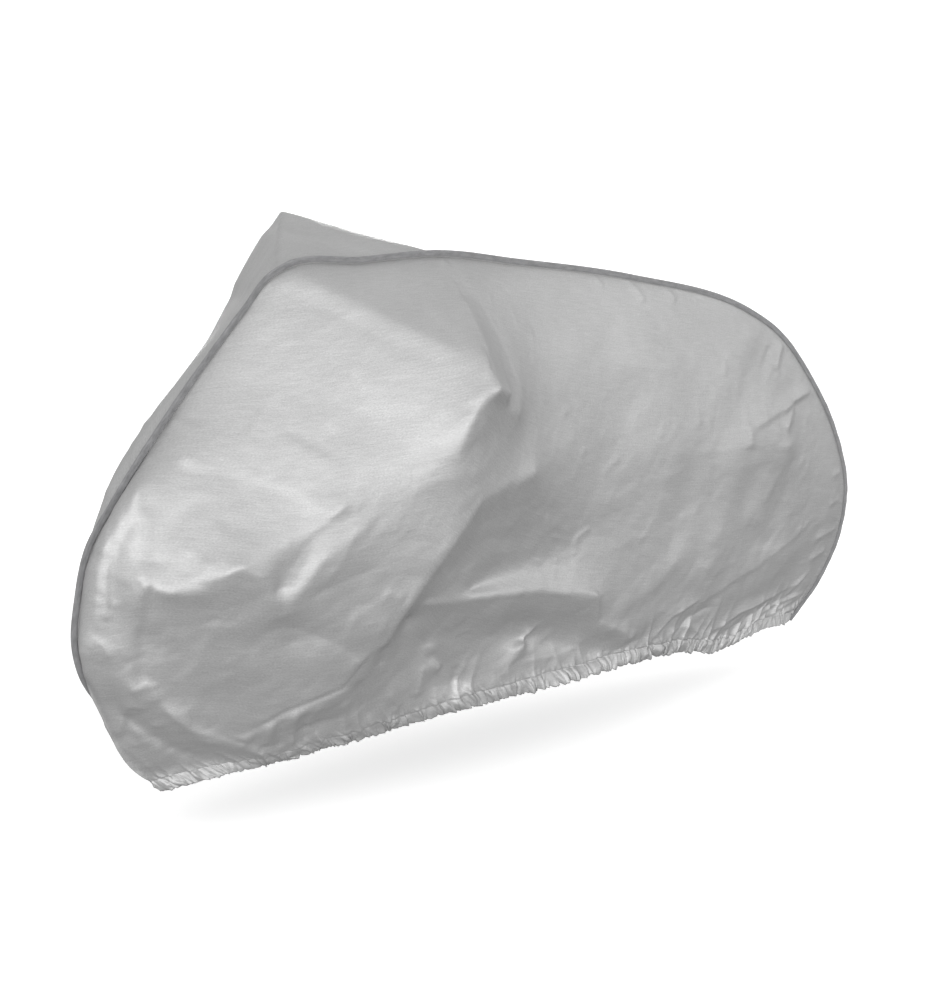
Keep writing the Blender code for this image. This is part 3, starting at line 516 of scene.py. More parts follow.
FAR_CRUMPLES = (
    ("nose", 24, 1.3, 32, 60, 50, (-0.52, -0.48, 0.07, 0.17)),
    ("front face", 22, 0.9, 50, 70, 40, (-0.34, -0.36, 0.14, 0.15)),
    ("low front", 18, 1.2, 36, 10, 60, (-0.38, -0.7, 0.14, 0.08)),
    ("tent face", 24, 0.8, 60, 60, 40, (-0.08, -0.33, 0.14, 0.22)),
    ("behind the peak", 18, 0.9, 55, -45, 40, (0.18, -0.18, 0.11, 0.13)),
    ("side", 26, 1.1, 45, -30, 50, (0.23, -0.54, 0.2, 0.13)),
    ("back", 18, 0.7, 50, 20, 50, (0.48, -0.21, 0.22, 0.09)),
    ("rear side", 24, 0.9, 50, 60, 40, (0.62, -0.48, 0.18, 0.17)),
    ("tail", 26, 1.2, 40, 35, 40, (0.93, -0.5, 0.13, 0.2)),
)

# Gathers that rise from the hem: the share of the hem at which they have these sizes, their
# spacing, height and reach (millimetres)
GATHERS = (
    ("front turn", 0.0, 18, 4.0, 50),
    ("front", 0.08, 26, 5.0, 60),
    ("fore middle", 0.25, 34, 6.0, 80),
    ("middle", 0.5, 44, 5.0, 80),
    ("aft middle", 0.7, 36, 5.5, 85),
    ("rear", 0.85, 28, 6.5, 95),
    ("rear turn", 1.0, 20, 4.5, 60),
)
# Puckers that run in from the seam, likewise by share of the seam from front to rear
PUCKERS = (
    ("front end", 0.0, 12, 1.0, 26),
    ("top", 0.5, 15, 0.8, 24),
    ("rear end", 1.0, 11, 1.2, 32),
)

# Ruffles of the casing: share of the hem, their spacing and height (millimetres), and how far they
# reach up into the cloth
RUFFLES = (
    ("front end", 0.0, 11, 3.0, 14),
    ("front turn", 0.05, 12, 4.0, 18),
    ("front", 0.2, 13, 4.8, 24),
    ("fore middle", 0.4, 16, 6.0, 26),
    ("middle", 0.5, 19, 8.0, 16),
    ("aft middle", 0.68, 18, 8.0, 16),
    ("rear", 0.85, 15, 7.5, 28),
    ("rear end", 1.0, 11, 4.0, 18),
)

# Section of the casing from the stitch line to the edge and up inside: share of its height, how far
# it stands out (millimetres), and its share of the ruffles
CASING_SECTION = (
    ("stitch line", 0.03, -1.5, 0.35),
    ("below it", 0.1, 0.5, 0.45),
    ("upper side", 0.24, 1.8, 0.75),
    ("side", 0.42, 2.6, 1.0),
    ("fullest", 0.6, 3.0, 1.1),
    ("lower side", 0.78, 2.6, 1.0),
    ("turn", 0.92, 1.6, 0.9),
    ("edge", 1.0, 0.2, 0.8),
    ("turned in", 0.97, -1.6, 0.75),
    ("inside low", 0.84, -2.6, 0.65),
    ("inside", 0.6, -2.8, 0.5),
    ("inside high", 0.3, -2.4, 0.4),
    ("inside top", 0.06, -1.6, 0.35),
)
# How full the casing is by share of the hem, against its section
CASING_FULLNESS = (
    ("front end", 0.0, 0.3),
    ("front", 0.36, 0.3),
    ("fore middle", 0.5, 0.45),
    ("middle", 0.57, 1.15),
    ("aft middle", 0.68, 1.15),
    ("rear", 0.76, 0.85),
    ("rear end", 1.0, 0.6),
)
rng = np.random.default_rng(SEED)


def eased(share):
    """A soft step from 0 to 1."""
    share = np.clip(share, 0.0, 1.0)
    return share * share * (3.0 - 2.0 * share)


def fading(away, reach):
    """A share that falls from 1 to 0 over a reach."""
    return np.clip(1.0 - away / reach, 0.0, 1.0)


def unit(vectors):
    """Vectors brought to a length of 1."""
    return vectors / np.maximum(np.linalg.norm(vectors, axis=-1), 1e-12)[..., None]


def run_of(points, axis=0):
    """How far along the grid each point lies, measured on it."""
    steps = np.linalg.norm(np.diff(points, axis=axis), axis=-1)
    first = np.zeros_like(np.take(steps, [0], axis=axis))
    return np.concatenate([first, np.cumsum(steps, axis=axis)], axis=axis)


def between(places, knots, points):
    """Places on a line through points, each point at its knot."""
    return np.stack([np.interp(places, knots, points[:, axis]) for axis in range(3)], axis=-1)


def by_row(table, place, column=2):
    """A column of a table at a place, such as a share of a length, that its first numbers give."""
    return np.interp(place, [row[1] for row in table], [row[column] for row in table])


def millis(table, share, column):
    """A column of millimetres of a table, in metres."""
    return by_row(table, share, column) * MILLI


def curve_through(points):
    """A smooth curve through points, and the share of its length at which each one lies."""
    points = np.array(points)
    knots = run_of(points)
    knots = knots / knots[-1]
    slopes = np.gradient(points, knots, axis=0)

    def at(share):
        share = np.clip(share, 0.0, 1.0)
        span = np.clip(np.searchsorted(knots, share, side="right") - 1, 0, len(points) - 2)
        width = (knots[span + 1] - knots[span])[..., None]
        f = (share - knots[span])[..., None] / width
        start = (1 + 2 * f) * (1 - f) ** 2 * points[span] + f * (1 - f) ** 2 * width * slopes[span]
        end = f * f * (3 - 2 * f) * points[span + 1] - f * f * (1 - f) * width * slopes[span + 1]
        return start + end

    return at, knots


def row_shares(rows):
    """Shares of the way from seam to hem at which rows lie."""
    return 1.0 - (1.0 - np.linspace(0.0, 1.0, rows + 1)) ** ROW_CROWDING


def seam_line(columns=COLUMNS, rows=ROWS):
    """Places along the seam from front to rear, the way out of the cloth and the way across."""
    table = NOSE_SEAM + TOP_SEAM + TAIL_SEAM
    at, knots = curve_through([(x, side, z) for _, x, z, side, _ in table])
    brow = knots[len(NOSE_SEAM)]
    bend = knots[len(NOSE_SEAM) + len(TOP_SEAM)]
    down = row_shares(ROWS)
    along = np.linspace(0.0, 1.0, COLUMNS + 1)
    shares = np.concatenate([
        brow * (1.0 - down[:0:-1]), brow + (bend - brow) * along, bend + (1.0 - bend) * down[1:]])
    middle = at(shares)
    lean = np.radians(np.interp(shares, knots, [row[-1] for row in table]))[:, None]
    ahead = unit(np.gradient(middle[:, [0, 2]], axis=0))
    upright = np.stack([-ahead[:, 1], np.zeros(len(ahead)), ahead[:, 0]], axis=-1)
    sideways = np.array([0.0, 1.0, 0.0])
    outwards = np.cos(lean) * upright + np.sin(lean) * sideways
    across = np.cos(lean) * sideways - np.sin(lean) * upright
    keep = np.concatenate([
        np.arange(0, ROWS, ROWS // rows), ROWS + np.arange(0, COLUMNS, COLUMNS // columns),
        ROWS + COLUMNS + np.arange(0, ROWS + 1, ROWS // rows)])
    places = middle - TAPE_MIDDLE * outwards
    return places[keep], outwards[keep], across[keep]


def seam_edge(side, columns=COLUMNS, rows=ROWS):
    """A side's edge along the seam, from front hem to rear hem."""
    places, _, across = seam_line(columns, rows)
    return places + side * (SEAM_GAP / 2 + SHEET / 2) * across


def climb(level, rise):
    """How steeply a line climbs as it leads out from the median plane."""
    return rise * eased((level - RISE_FROM) / (RISE_FULL - RISE_FROM))


def lead(station):
    """How far a line leads forward as it leads out from the median plane."""
    return NOSE_LEAD * eased((station - LEAD_FROM) / (LEAD_FULL - LEAD_FROM))


def on_lines(x, out, z, rise):
    """Place (x, out, z) as (station, level, out), by the line that it lies on."""
    level = np.asarray(z, dtype=float)
    station = np.asarray(x, dtype=float)
    for _ in range(LINE_STEPS):
        level = 0.5 * (level + z - out * climb(level, rise))
        station = 0.5 * (station + x + out * lead(station))
    return np.stack(np.broadcast_arrays(station, level, out), axis=-1).astype(float)


def coordinates(places, rise):
    """Undo on_lines: (station, level, out) as x, out, z."""
    station, level, out = np.moveaxis(places, -1, 0)
    return station - out * lead(station), out, level + out * climb(level, rise)


def coons_patch(front, top, rear, hem, down):
    """A grid spanned between its four edges. Front and rear run from the top edge to the hem."""
    s = np.linspace(0.0, 1.0, len(top))[None, :, None]
    t = down[:, None, None]
    ruled = (1 - t) * top[None] + t * hem[None]
    crossed = (1 - s) * front[:, None] + s * rear[:, None]
    corners = ((1 - s) * (1 - t) * top[0] + s * (1 - t) * top[-1]
               + (1 - s) * t * hem[0] + s * t * hem[-1])
    return ruled + crossed - corners


def fold_pull(grid, folds, rise):
    """How hard the folds hold each point of a grid, at which depth, and how round the cloth is."""
    pull = np.zeros(grid.shape[:2])
    held = np.zeros(grid.shape[:2])
    roundness = np.full(grid.shape[:2], ROUNDEST)
    for _, x0, out0, z0, x1, out1, z1, fold_roundness in folds:
        start = on_lines(x0, out0, z0, rise)
        end = on_lines(x1, out1, z1, rise)
        line = end[:2] - start[:2]
        share = np.clip((grid[..., :2] - start[:2]) @ line / (line @ line), 0.0, 1.0)
        foot = start + share[..., None] * (end - start)
        distance = np.linalg.norm(grid[..., :2] - foot[..., :2], axis=-1)
        weight = FOLD_PULL * np.exp(-((distance / FOLD_LINE) ** 2))
        pull += weight
        held += weight * foot[..., 2]
        roundness = np.minimum(roundness, fold_roundness + SOFTENING * distance)
    return pull, held, roundness


def blurred(depth, cells):
    """A grid of depths smoothed over so many cells, with its edges kept."""
    reach = int(3 * cells) + 1
    offsets = np.arange(-reach, reach + 1)
    weights = np.exp(-0.5 * (offsets / cells) ** 2)
    weights /= weights.sum()
    rows, columns = depth.shape
    padded = np.pad(depth, reach, mode="reflect", reflect_type="odd")
    down = sum(weight * padded[k:k + rows] for k, weight in enumerate(weights))
    return sum(weight * down[:, k:k + columns] for k, weight in enumerate(weights))


def rounded(depth, roundness):
    """Round the folds of a grid of depths, each point by its own roundness."""
    result = depth
    for small, large in zip((0.0,) + ROUND_STEPS[:-1], ROUND_STEPS):
        share = np.clip((roundness - small) / (large - small), 0.0, 1.0)
        result = result * (1.0 - share) + blurred(depth, large / CELL) * share
    return result


def relax(depth, pull, held, passes):
    """Let the inner points of a grid settle between their neighbours and the fold lines."""
    for _ in range(passes):
        around = depth[:-2, 1:-1] + depth[2:, 1:-1] + depth[1:-1, :-2] + depth[1:-1, 2:]
        depth[1:-1, 1:-1] = (around + held[1:-1, 1:-1]) / (4.0 + pull[1:-1, 1:-1])
    return depth


def refined(depth, count):
    """Rows of a coarse grid of depths, brought to a finer count of rows."""
    place = np.linspace(0, len(depth) - 1, count)
    low = np.minimum(place.astype(int), len(depth) - 2)
    part = (place - low)[:, None]
    return depth[low] * (1 - part) + depth[low + 1] * part


def taut_cloth(side, hem_rows, folds, rise):
    """The cloth of a side stretched over its folds, as a grid of (x, y, z), row 0 on the seam."""
    def spanned(columns, rows):
        edge = seam_edge(side, columns, rows)
        edge = on_lines(edge[:, 0], side * edge[:, 1], edge[:, 2], rise)
        front, top, rear = edge[rows::-1], edge[rows:rows + columns + 1], edge[rows + columns:]
        middle = [on_lines(x, out, z, rise) for _, x, out, z in hem_rows]
        at, _ = curve_through([front[-1], *middle, rear[-1]])
        hem = at(np.linspace(0.0, 1.0, columns + 1))
        return coons_patch(front, top, rear, hem, row_shares(rows))

    level = COARSEST
    depth = spanned(COLUMNS // level, ROWS // level)[..., 2]
    while level >= 1:
        grid = spanned(COLUMNS // level, ROWS // level)
        depth = refined(refined(depth, grid.shape[0]).T, grid.shape[1]).T.copy()
        depth[0], depth[-1] = grid[0, :, 2], grid[-1, :, 2]
        depth[:, 0], depth[:, -1] = grid[:, 0, 2], grid[:, -1, 2]
        pull, held, roundness = fold_pull(grid, folds, rise)
        depth = relax(depth, pull, held, PASSES * level)
        level //= 2
    grid[..., 2] += rounded(depth - grid[..., 2], roundness)
    x, out, z = coordinates(grid, rise)
    return np.stack([x, side * out, z], axis=-1)


def cut_at_strip(cloth):
    """The cloth as two grids: down to the gathered strip, and the strip down to the casing."""
    below = np.linspace(0.0, HEM_STRIP - CASING, STRIP_ROWS + 1)
    upper, strip = [], []
    for run, points in zip(run_of(cloth).T, cloth.transpose(1, 0, 2)):
        cut = run[-1] - HEM_STRIP
        upper.append(between(cut * row_shares(ROWS), run, points))
        strip.append(between(cut + below, run, points))
    return np.stack(upper, axis=1), np.stack(strip, axis=1)


def normals_of(cloth, side):
    """The way out of the cloth at each point of its grid."""
    along = np.gradient(cloth, axis=1)
    down = np.gradient(cloth, axis=0)
    return unit(np.cross(down, along) * -side)


def view_axes():
    """The ways ahead, to the right and up of the view."""
    turn, dip = math.radians(VIEW_TURN), math.radians(VIEW_DIP)
    level = math.cos(dip)
    ahead = np.array([level * math.cos(turn), level * math.sin(turn), -math.sin(dip)])
    right = np.array([math.sin(turn), -math.cos(turn), 0.0])
    return ahead, right, np.cross(right, ahead)


def seen_at(across, down, out, side):
    """The place (x, out, z) on a side that shows at these pixels and lies so far out."""
    ahead, right, up = view_axes()
    ray = ahead + ((across - VIEW_MIDDLE[0]) * right + (VIEW_MIDDLE[1] - down) * up) / VIEW_FOCAL
    reach = (side * out - VIEW_PLACE[1]) / ray[1]
    return VIEW_PLACE[0] + reach * ray[0], out, VIEW_PLACE[2] + reach * ray[2]


def seen_folds(side):
    """The folds that show in the view, as rows of real places, one for each stretch of a fold."""
    rows = []
    for name, roundness, *points in SEEN_FOLDS:
        places = [seen_at(*point, side) for point in points]
        rows += [(name, *start, *end, roundness) for start, end in zip(places, places[1:])]
    return tuple(rows)


def shown_on(cloth):
    """A function from pixels of the view to the place (x, z) of the cloth that shows there."""
    ahead, right, up = view_axes()
    from_eye = cloth - np.array(VIEW_PLACE)
    depth = from_eye @ ahead
    across = VIEW_MIDDLE[0] + VIEW_FOCAL * (from_eye @ right) / depth
    down = VIEW_MIDDLE[1] - VIEW_FOCAL * (from_eye @ up) / depth

    def place(pixel_across, pixel_down):
        off = np.hypot(across - pixel_across, down - pixel_down)
        close = off < max(SHOWN_NEAR, off.min() + SHOWN_SLACK)
        shows = close & (depth < depth[close].min() + SHOWN_REACH)
        spot = np.unravel_index(np.where(shows, off, np.inf).argmin(), off.shape)
        return cloth[spot][[0, 2]]

    return place


def by_place(x, z):
    """The same for creases that are given by their places."""
    return np.array([x, z])


def pinched(share):
    """The section of a crease by the share of its reach that is left: steep at the crest."""
    return CREASE_HEIGHT * share ** CREASE_PEAK


def creased(cloth, creases, place, section=pinched, spread_by=CREASE_SPREAD):
    """Height of ridges and troughs that run along lines on the cloth, sloping to either side."""
    x, z = cloth[..., 0], cloth[..., 2]
    height = np.zeros(x.shape)
    for _, tall, wide_left, wide_right, *points in creases:
        spots = np.array([place(*point) for point in points])
        steps = np.linalg.norm(np.diff(spots, axis=0), axis=1)
        before = run_of(spots)
        best = np.zeros(x.shape)
        for start, end, step, run_before in zip(spots, spots[1:], steps, before):
            ahead = (end - start) / step
            run = np.clip((x - start[0]) * ahead[0] + (z - start[1]) * ahead[1], 0.0, step)
            off_x = x - start[0] - run * ahead[0]
            off_z = z - start[1] - run * ahead[1]
            wide = np.where(ahead[0] * off_z - ahead[1] * off_x > 0.0, wide_left, wide_right)
            slope = section(fading(np.hypot(off_x, off_z), wide * MILLI * spread_by))
            share = (run_before + run) / before[-1]
            fade = eased(np.minimum(share, 1.0 - share) / CREASE_END)
            best = np.maximum(best, slope * fade)
        height += tall * MILLI * best
    return height


def crumpled(cloth, patches):
    """Height of small creases scattered over patches of the cloth, each bent once on its way."""
    def ahead(angle):
        return np.array([math.cos(angle), math.sin(angle)])

    creases = []
    for name, count, tall, long, way, wander, (x, z, reach_x, reach_z) in patches:
        for _ in range(count):
            middle = np.array([x, z]) + np.array([reach_x, reach_z]) * rng.uniform(-1.0, 1.0, 2)
            angle = math.radians(way + wander * rng.uniform(-1.0, 1.0))
            bend = math.radians(rng.uniform(*CRUMPLE_BEND))
            half = 0.5 * long * MILLI * rng.uniform(*CRUMPLE_LENGTH)
            start, end = middle - half * ahead(angle), middle + half * ahead(angle + bend)
            height = rng.choice([1.0, 1.0, -1.0]) * tall * rng.uniform(*CRUMPLE_HEIGHT)
            slopes = rng.uniform(*CRUMPLE_SLOPE), rng.uniform(*CRUMPLE_SLOPE)
            creases.append((name, height, *slopes, start, middle, end))
    return creased(cloth, creases, by_place, spread_by=CRUMPLE_SPREAD)


def in_triangles(across, up, values):
    """Values at the corners of a lattice of triangles, joined by flat triangles."""
    column, row = np.floor(across).astype(int), np.floor(up).astype(int)
    right, high = across - column, up - row

    def corner(columns, rows):
        return values[(column + columns) % LATTICE, (row + rows) % LATTICE]

    lower = corner(0, 0) * (1.0 - right - high) + corner(1, 0) * right + corner(0, 1) * high
    upper = (corner(1, 1) * (right + high - 1.0) + corner(1, 0) * (1.0 - high)
             + corner(0, 1) * (1.0 - right))
    return np.where(right + high < 1.0, lower, upper)


def faceted(cloth):
    """Height of the flat facets, with sharp bends between them, that stiff cloth falls into."""
    x, z = cloth[..., 0], cloth[..., 2]
    height = np.zeros(x.shape)
    for _, size, stretch, way, tall in FACETS:
        turn = math.radians(way)
        across = (math.cos(turn) * x + math.sin(turn) * z) / (size * stretch * MILLI)
        up = (math.cos(turn) * z - math.sin(turn) * x) / (size * MILLI)
        values = rng.uniform(-1.0, 1.0, (3, LATTICE, LATTICE))
        wander_across, wander_up = FACET_WANDER * across, FACET_WANDER * up
        shift_across = FACET_SHIFT * in_triangles(wander_across, wander_up, values[0])
        shift_up = FACET_SHIFT * in_triangles(wander_up, wander_across, values[1])
        height += tall * MILLI * in_triangles(across + shift_across, up + shift_up, values[2])
    return height * by_row(FACET_LEVELS, z)


def ridges_from_edge(along, away, table, length):
    """Height of uneven ridges that start at an edge and run away from it, as gathers do."""
    height = np.zeros(along.shape)
    place = 0.0
    while place < length:
        pitch, tall, reach = [millis(table, place / length, column) for column in (2, 3, 4)]
        place += pitch * rng.uniform(*RIDGE_PITCH)
        wide_before, wide_behind = pitch * rng.uniform(*RIDGE_WIDTH, 2)
        slant = rng.uniform(*RIDGE_SLANT)
        offset = along - place - slant * away
        wide = np.where(offset > 0.0, wide_behind, wide_before)
        slope = fading(np.abs(offset), wide) ** CREASE_PEAK
        fade = fading(away, reach * rng.uniform(*RIDGE_REACH)) ** RIDGE_FADE
        height += tall * rng.uniform(*RIDGE_HEIGHT) * slope * fade
    return height


def from_seam(cloth, edge):
    """How far each point of the cloth's grid lies from the seam, and where along the seam."""
    run = run_of(edge)
    away = np.empty(cloth.shape[:2])
    along = np.empty(cloth.shape[:2])
    for row, points in enumerate(cloth):
        distances = np.linalg.norm(points[:, None] - edge[None], axis=-1)
        nearest = distances.argmin(axis=1)
        away[row] = distances[np.arange(len(points)), nearest]
        along[row] = run[nearest]
    return away, along, run[-1]


def ruffles(along):
    """Uneven ruffles along the hem, as a function from places to how far they stand out."""
    waves = []
    for size, stretch in RUFFLE_SIZES:
        valleys = [0.0]
        while valleys[-1] < along[-1]:
            pitch = stretch * millis(RUFFLES, valleys[-1] / along[-1], 2)
            valleys.append(valleys[-1] + pitch * rng.uniform(*RUFFLE_PITCH))
        waves.append((size, np.array(valleys), rng.uniform(*RUFFLE_HEIGHT, len(valleys)),
                      rng.uniform(*RUFFLE_CREST, len(valleys))))

    def stand_out(places):
        places = np.clip(places, 0.0, along[-1])
        total = np.zeros(places.shape)
        for size, valleys, heights, crests in waves:
            ruffle = np.searchsorted(valleys, places, side="right") - 1
            ruffle = np.clip(ruffle, 0, len(valleys) - 2)
            way = (places - valleys[ruffle]) / (valleys[ruffle + 1] - valleys[ruffle])
            crest = crests[ruffle]
            rise = np.where(way < crest, way / crest, (1.0 - way) / (1.0 - crest))
            total += size * heights[ruffle] * (1.0 - (1.0 - rise) ** RUFFLE_ROUND) - VALLEY * size
        return total * millis(RUFFLES, places / along[-1], 3)

    return stand_out


def draped_cloth(side, hem_rows, folds, rise, creases, swells, patches):
    """The cloth of a side with all its creases: down to the strip, the strip, and its hem."""
    taut = taut_cloth(side, hem_rows, folds, rise)
    hem_run = run_of(taut[-1])
    share = np.linspace(0.0, 1.0, taut.shape[1])
    fine_share = np.linspace(0.0, 1.0, CASING_CELLS + 1)
    upper, strip = cut_at_strip(taut)
    place = shown_on(np.concatenate([upper, strip[1:]])) if side == NEAR else by_place
    strip = np.stack([between(fine_share, share, row) for row in strip])
    seam = seam_edge(side)
    state = rng.bit_generator.state
    result = []
    for cloth, shares, under in ((upper, share, HEM_STRIP - CASING), (strip, fine_share, 0.0)):
        rng.bit_generator.state = state  # the same ridges on both grids
        away, along, seam_length = from_seam(cloth, seam)
        above = run_of(cloth[::-1])[::-1] + under
        hem_along = np.broadcast_to(np.interp(shares, share, hem_run), above.shape)
        height = creased(cloth, creases, place) + creased(cloth, swells, place, eased, SWELL_SPREAD)
        height += crumpled(cloth, patches) + faceted(cloth)
        height += ridges_from_edge(hem_along, above, GATHERS, hem_run[-1])
        height -= VALLEY * millis(GATHERS, shares, 3) * fading(above, HEM_STRIP)
        puckers = ridges_from_edge(along, away, PUCKERS, seam_length)
        height = height * eased(away / SEAM_HOLD) + puckers * eased(away / PUCKER_HOLD)
        result.append(cloth + height[..., None] * normals_of(cloth, side))
    upper, strip = result
    settle = np.linspace(1.0, 0.0, STRIP_ROWS + 1)[:, None, None] ** 2
    strip = strip + settle * (between(fine_share, share, upper[-1]) - strip[0])
    return upper, strip, between(fine_share, share, taut[-1])


def feed(tree, socket, value):
    """Give an input of a shader node a value, or link an output to it."""
    if isinstance(value, bpy.types.NodeSocket):
        tree.links.new(value, socket)
    else:
        socket.default_value = value


def node(tree, kind, inputs, **settings):
    """The outputs of a new shader node."""
    made = tree.nodes.new("ShaderNode" + kind)
    for name, value in settings.items():
        setattr(made, name, value)
    for name, value in inputs.items():
        feed(tree, made.inputs[name], value)
    return made.outputs


def on_cloth(tree, across, up):
    """UV coordinates, which are metres along and down the cloth, as cells of a pattern."""
    uv = node(tree, "TexCoord", {})["UV"]
    return node(tree, "Mapping", {"Vector": uv, "Scale": (across, up, 1.0)})["Vector"]


def noise(tree, across, up, detail, roughness=0.5):
    """Noise with so many cells to the metre, along and down the cloth."""
    return node(tree, "TexNoise", {"Vector": on_cloth(tree, across, up), "Scale": 1.0,
                                   "Detail": detail, "Roughness": roughness})["Fac"]


def bands(tree, across, up, direction):
    """Parallel bands with so many to the metre."""
    inputs = {"Vector": on_cloth(tree, across, up), "Scale": 1.0}
    return node(tree, "TexWave", inputs, bands_direction=direction)["Fac"]


def spread(tree, source, low, high, low_at=0.25, high_at=0.75):
    """A value brought to a range."""
    return node(tree, "MapRange", {"Value": source, "From Min": low_at, "From Max": high_at,
                                   "To Min": low, "To Max": high})["Result"]


def tinted(tree, colour, tints):
    """A colour times values."""
    tint = tints[0]
    for other in tints[1:]:
        tint = node(tree, "Math", {0: tint, 1: other}, operation="MULTIPLY")[0]
    return node(tree, "VectorMath", {0: colour, "Scale": tint}, operation="SCALE")["Vector"]


def bumped(tree, layers):
    """Bumps of so many metres by their values, each on top of the one before."""
    normal = {}
    for source, height in layers:
        made = node(tree, "Bump", {"Height": source, "Strength": 1.0, "Distance": height, **normal})
        normal = {"Normal": made["Normal"]}
    return normal["Normal"]


def material(name, colour, roughness, **inputs):
    """A new material, its node tree and a function that feeds inputs of its shader."""
    made = bpy.data.materials.new(name)
    made.use_nodes = True
    tree = made.node_tree
    shader = tree.nodes["Principled BSDF"]

    def set_looks(**looks):
        for socket, value in looks.items():
            feed(tree, shader.inputs[socket.replace("_", " ")], value)

    set_looks(Base_Color=(*colour, 1.0), Roughness=roughness, **inputs)
    return made, tree, set_looks


def coated_cloth(name):
    """Silver coated polyester: a satin coat, faint streaks along it, a speckle and a fine weave."""
    made, tree, set_looks = material(name, CLOTH_GREY, CLOTH_ROUGHNESS, Metallic=CLOTH_METALLIC)
    streak = noise(tree, *STREAKS)
    tints = [spread(tree, streak, *STREAK_TINT), spread(tree, noise(tree, *BROAD), *BROAD_TINT),
             spread(tree, noise(tree, *SPECKLE), *SPECKLE_TINT)]
    relief = [(noise(tree, *CRUSH), CRUSH_RELIEF), (streak, STREAK_RELIEF),
              (noise(tree, *GRAIN), GRAIN_RELIEF), (bands(tree, WEAVE, 0.0, "X"), WEAVE_RELIEF),
              (bands(tree, 0.0, WEAVE, "Y"), WEAVE_RELIEF)]
    patchy = spread(tree, noise(tree, *PATCHES), -PATCHINESS, PATCHINESS)
    rough = node(tree, "Math", {0: patchy, 1: CLOTH_ROUGHNESS}, operation="ADD")[0]
    set_looks(Base_Color=tinted(tree, CLOTH_GREY, tints), Roughness=rough,
              Normal=bumped(tree, relief))
    return made


def woven_tape(name):
    """Dark grey grosgrain: fine ribs across the tape, a matt weave and lighter worn edges."""
    made, tree, set_looks = material(
        name, TAPE_GREY, TAPE_ROUGHNESS, Sheen_Weight=SHEEN, Sheen_Roughness=SHEEN_ROUGHNESS)
    worn = spread(tree, noise(tree, *WEAR), *WEAR_TINT)
    relief = [(bands(tree, RIBS, 0.0, "X"), RIB_RELIEF),
              (noise(tree, *TAPE_GRAIN), TAPE_GRAIN_RELIEF)]
    set_looks(Base_Color=tinted(tree, TAPE_GREY, [worn]), Normal=bumped(tree, relief))
    return made


def thread(name):
    """Grey sewing thread with a faint twist."""
    made, tree, set_looks = material(name, THREAD_GREY, THREAD_ROUGHNESS)
    set_looks(Normal=bumped(tree, [(bands(tree, TWIST, TWIST, "DIAGONAL"), TWIST_RELIEF)]))
    return made


def grid_faces(rows, columns, first=0, closed=False, turned=False):
    """Quads of a grid of points, wrapped round at its last column or turned over if asked."""
    index = first + np.arange(rows * columns).reshape(rows, columns)
    if closed:
        index = np.concatenate([index, index[:, :1]], axis=1)
    faces = np.stack([index[:-1, :-1], index[1:, :-1], index[1:, 1:], index[:-1, 1:]], axis=-1)
    return faces.reshape(-1, 4)[:, ::-1 if turned else 1].tolist()


def laid_flat(along, down):
    """The places of a grid's points on the flat cloth, one row for each."""
    return np.stack([np.broadcast_to(along, down.shape), down], axis=-1).reshape(-1, 2)


def linked(name, data):
    """A new object in the scene."""
    made = bpy.data.objects.new(name, data)
    bpy.context.scene.collection.objects.link(made)
    return made


def new_piece(name, points, faces, flat, looks):
    """A smooth mesh piece that rides on the cover's one body."""
    mesh = bpy.data.meshes.new(name)
    mesh.from_pydata(points.reshape(-1, 3).tolist(), [], faces)
    mesh.polygons.foreach_set("use_smooth", [True] * len(mesh.polygons))
    loops = np.empty(len(mesh.loops), dtype=np.int32)
    mesh.loops.foreach_get("vertex_index", loops)
    mesh.uv_layers.new(name="metres").data.foreach_set("uv", flat[loops].ravel())
    mesh.materials.append(looks)
    piece = linked(name, mesh)
    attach(piece, "root")
    return piece


def cloth_piece(name, side, cloth, looks):
    """The cloth of a side with the seam allowance that stands up into the tape."""
    edge, outwards = seam_edge(side), seam_line()[1]
    fin = np.stack([edge, edge + TAPE_CLEAR * outwards, edge + FIN * outwards])
    faces = grid_faces(*cloth.shape[:2], turned=side == FAR)
    faces += grid_faces(*fin.shape[:2], first=cloth[..., 0].size, turned=side == NEAR)
    flat = np.concatenate([laid_flat(run_of(cloth, 1).mean(axis=0), run_of(cloth)),
                           laid_flat(run_of(fin, 1), run_of(fin))])
    points = np.concatenate([cloth.reshape(-1, 3), fin.reshape(-1, 3)])
    return new_piece(name, points, faces, flat, looks)


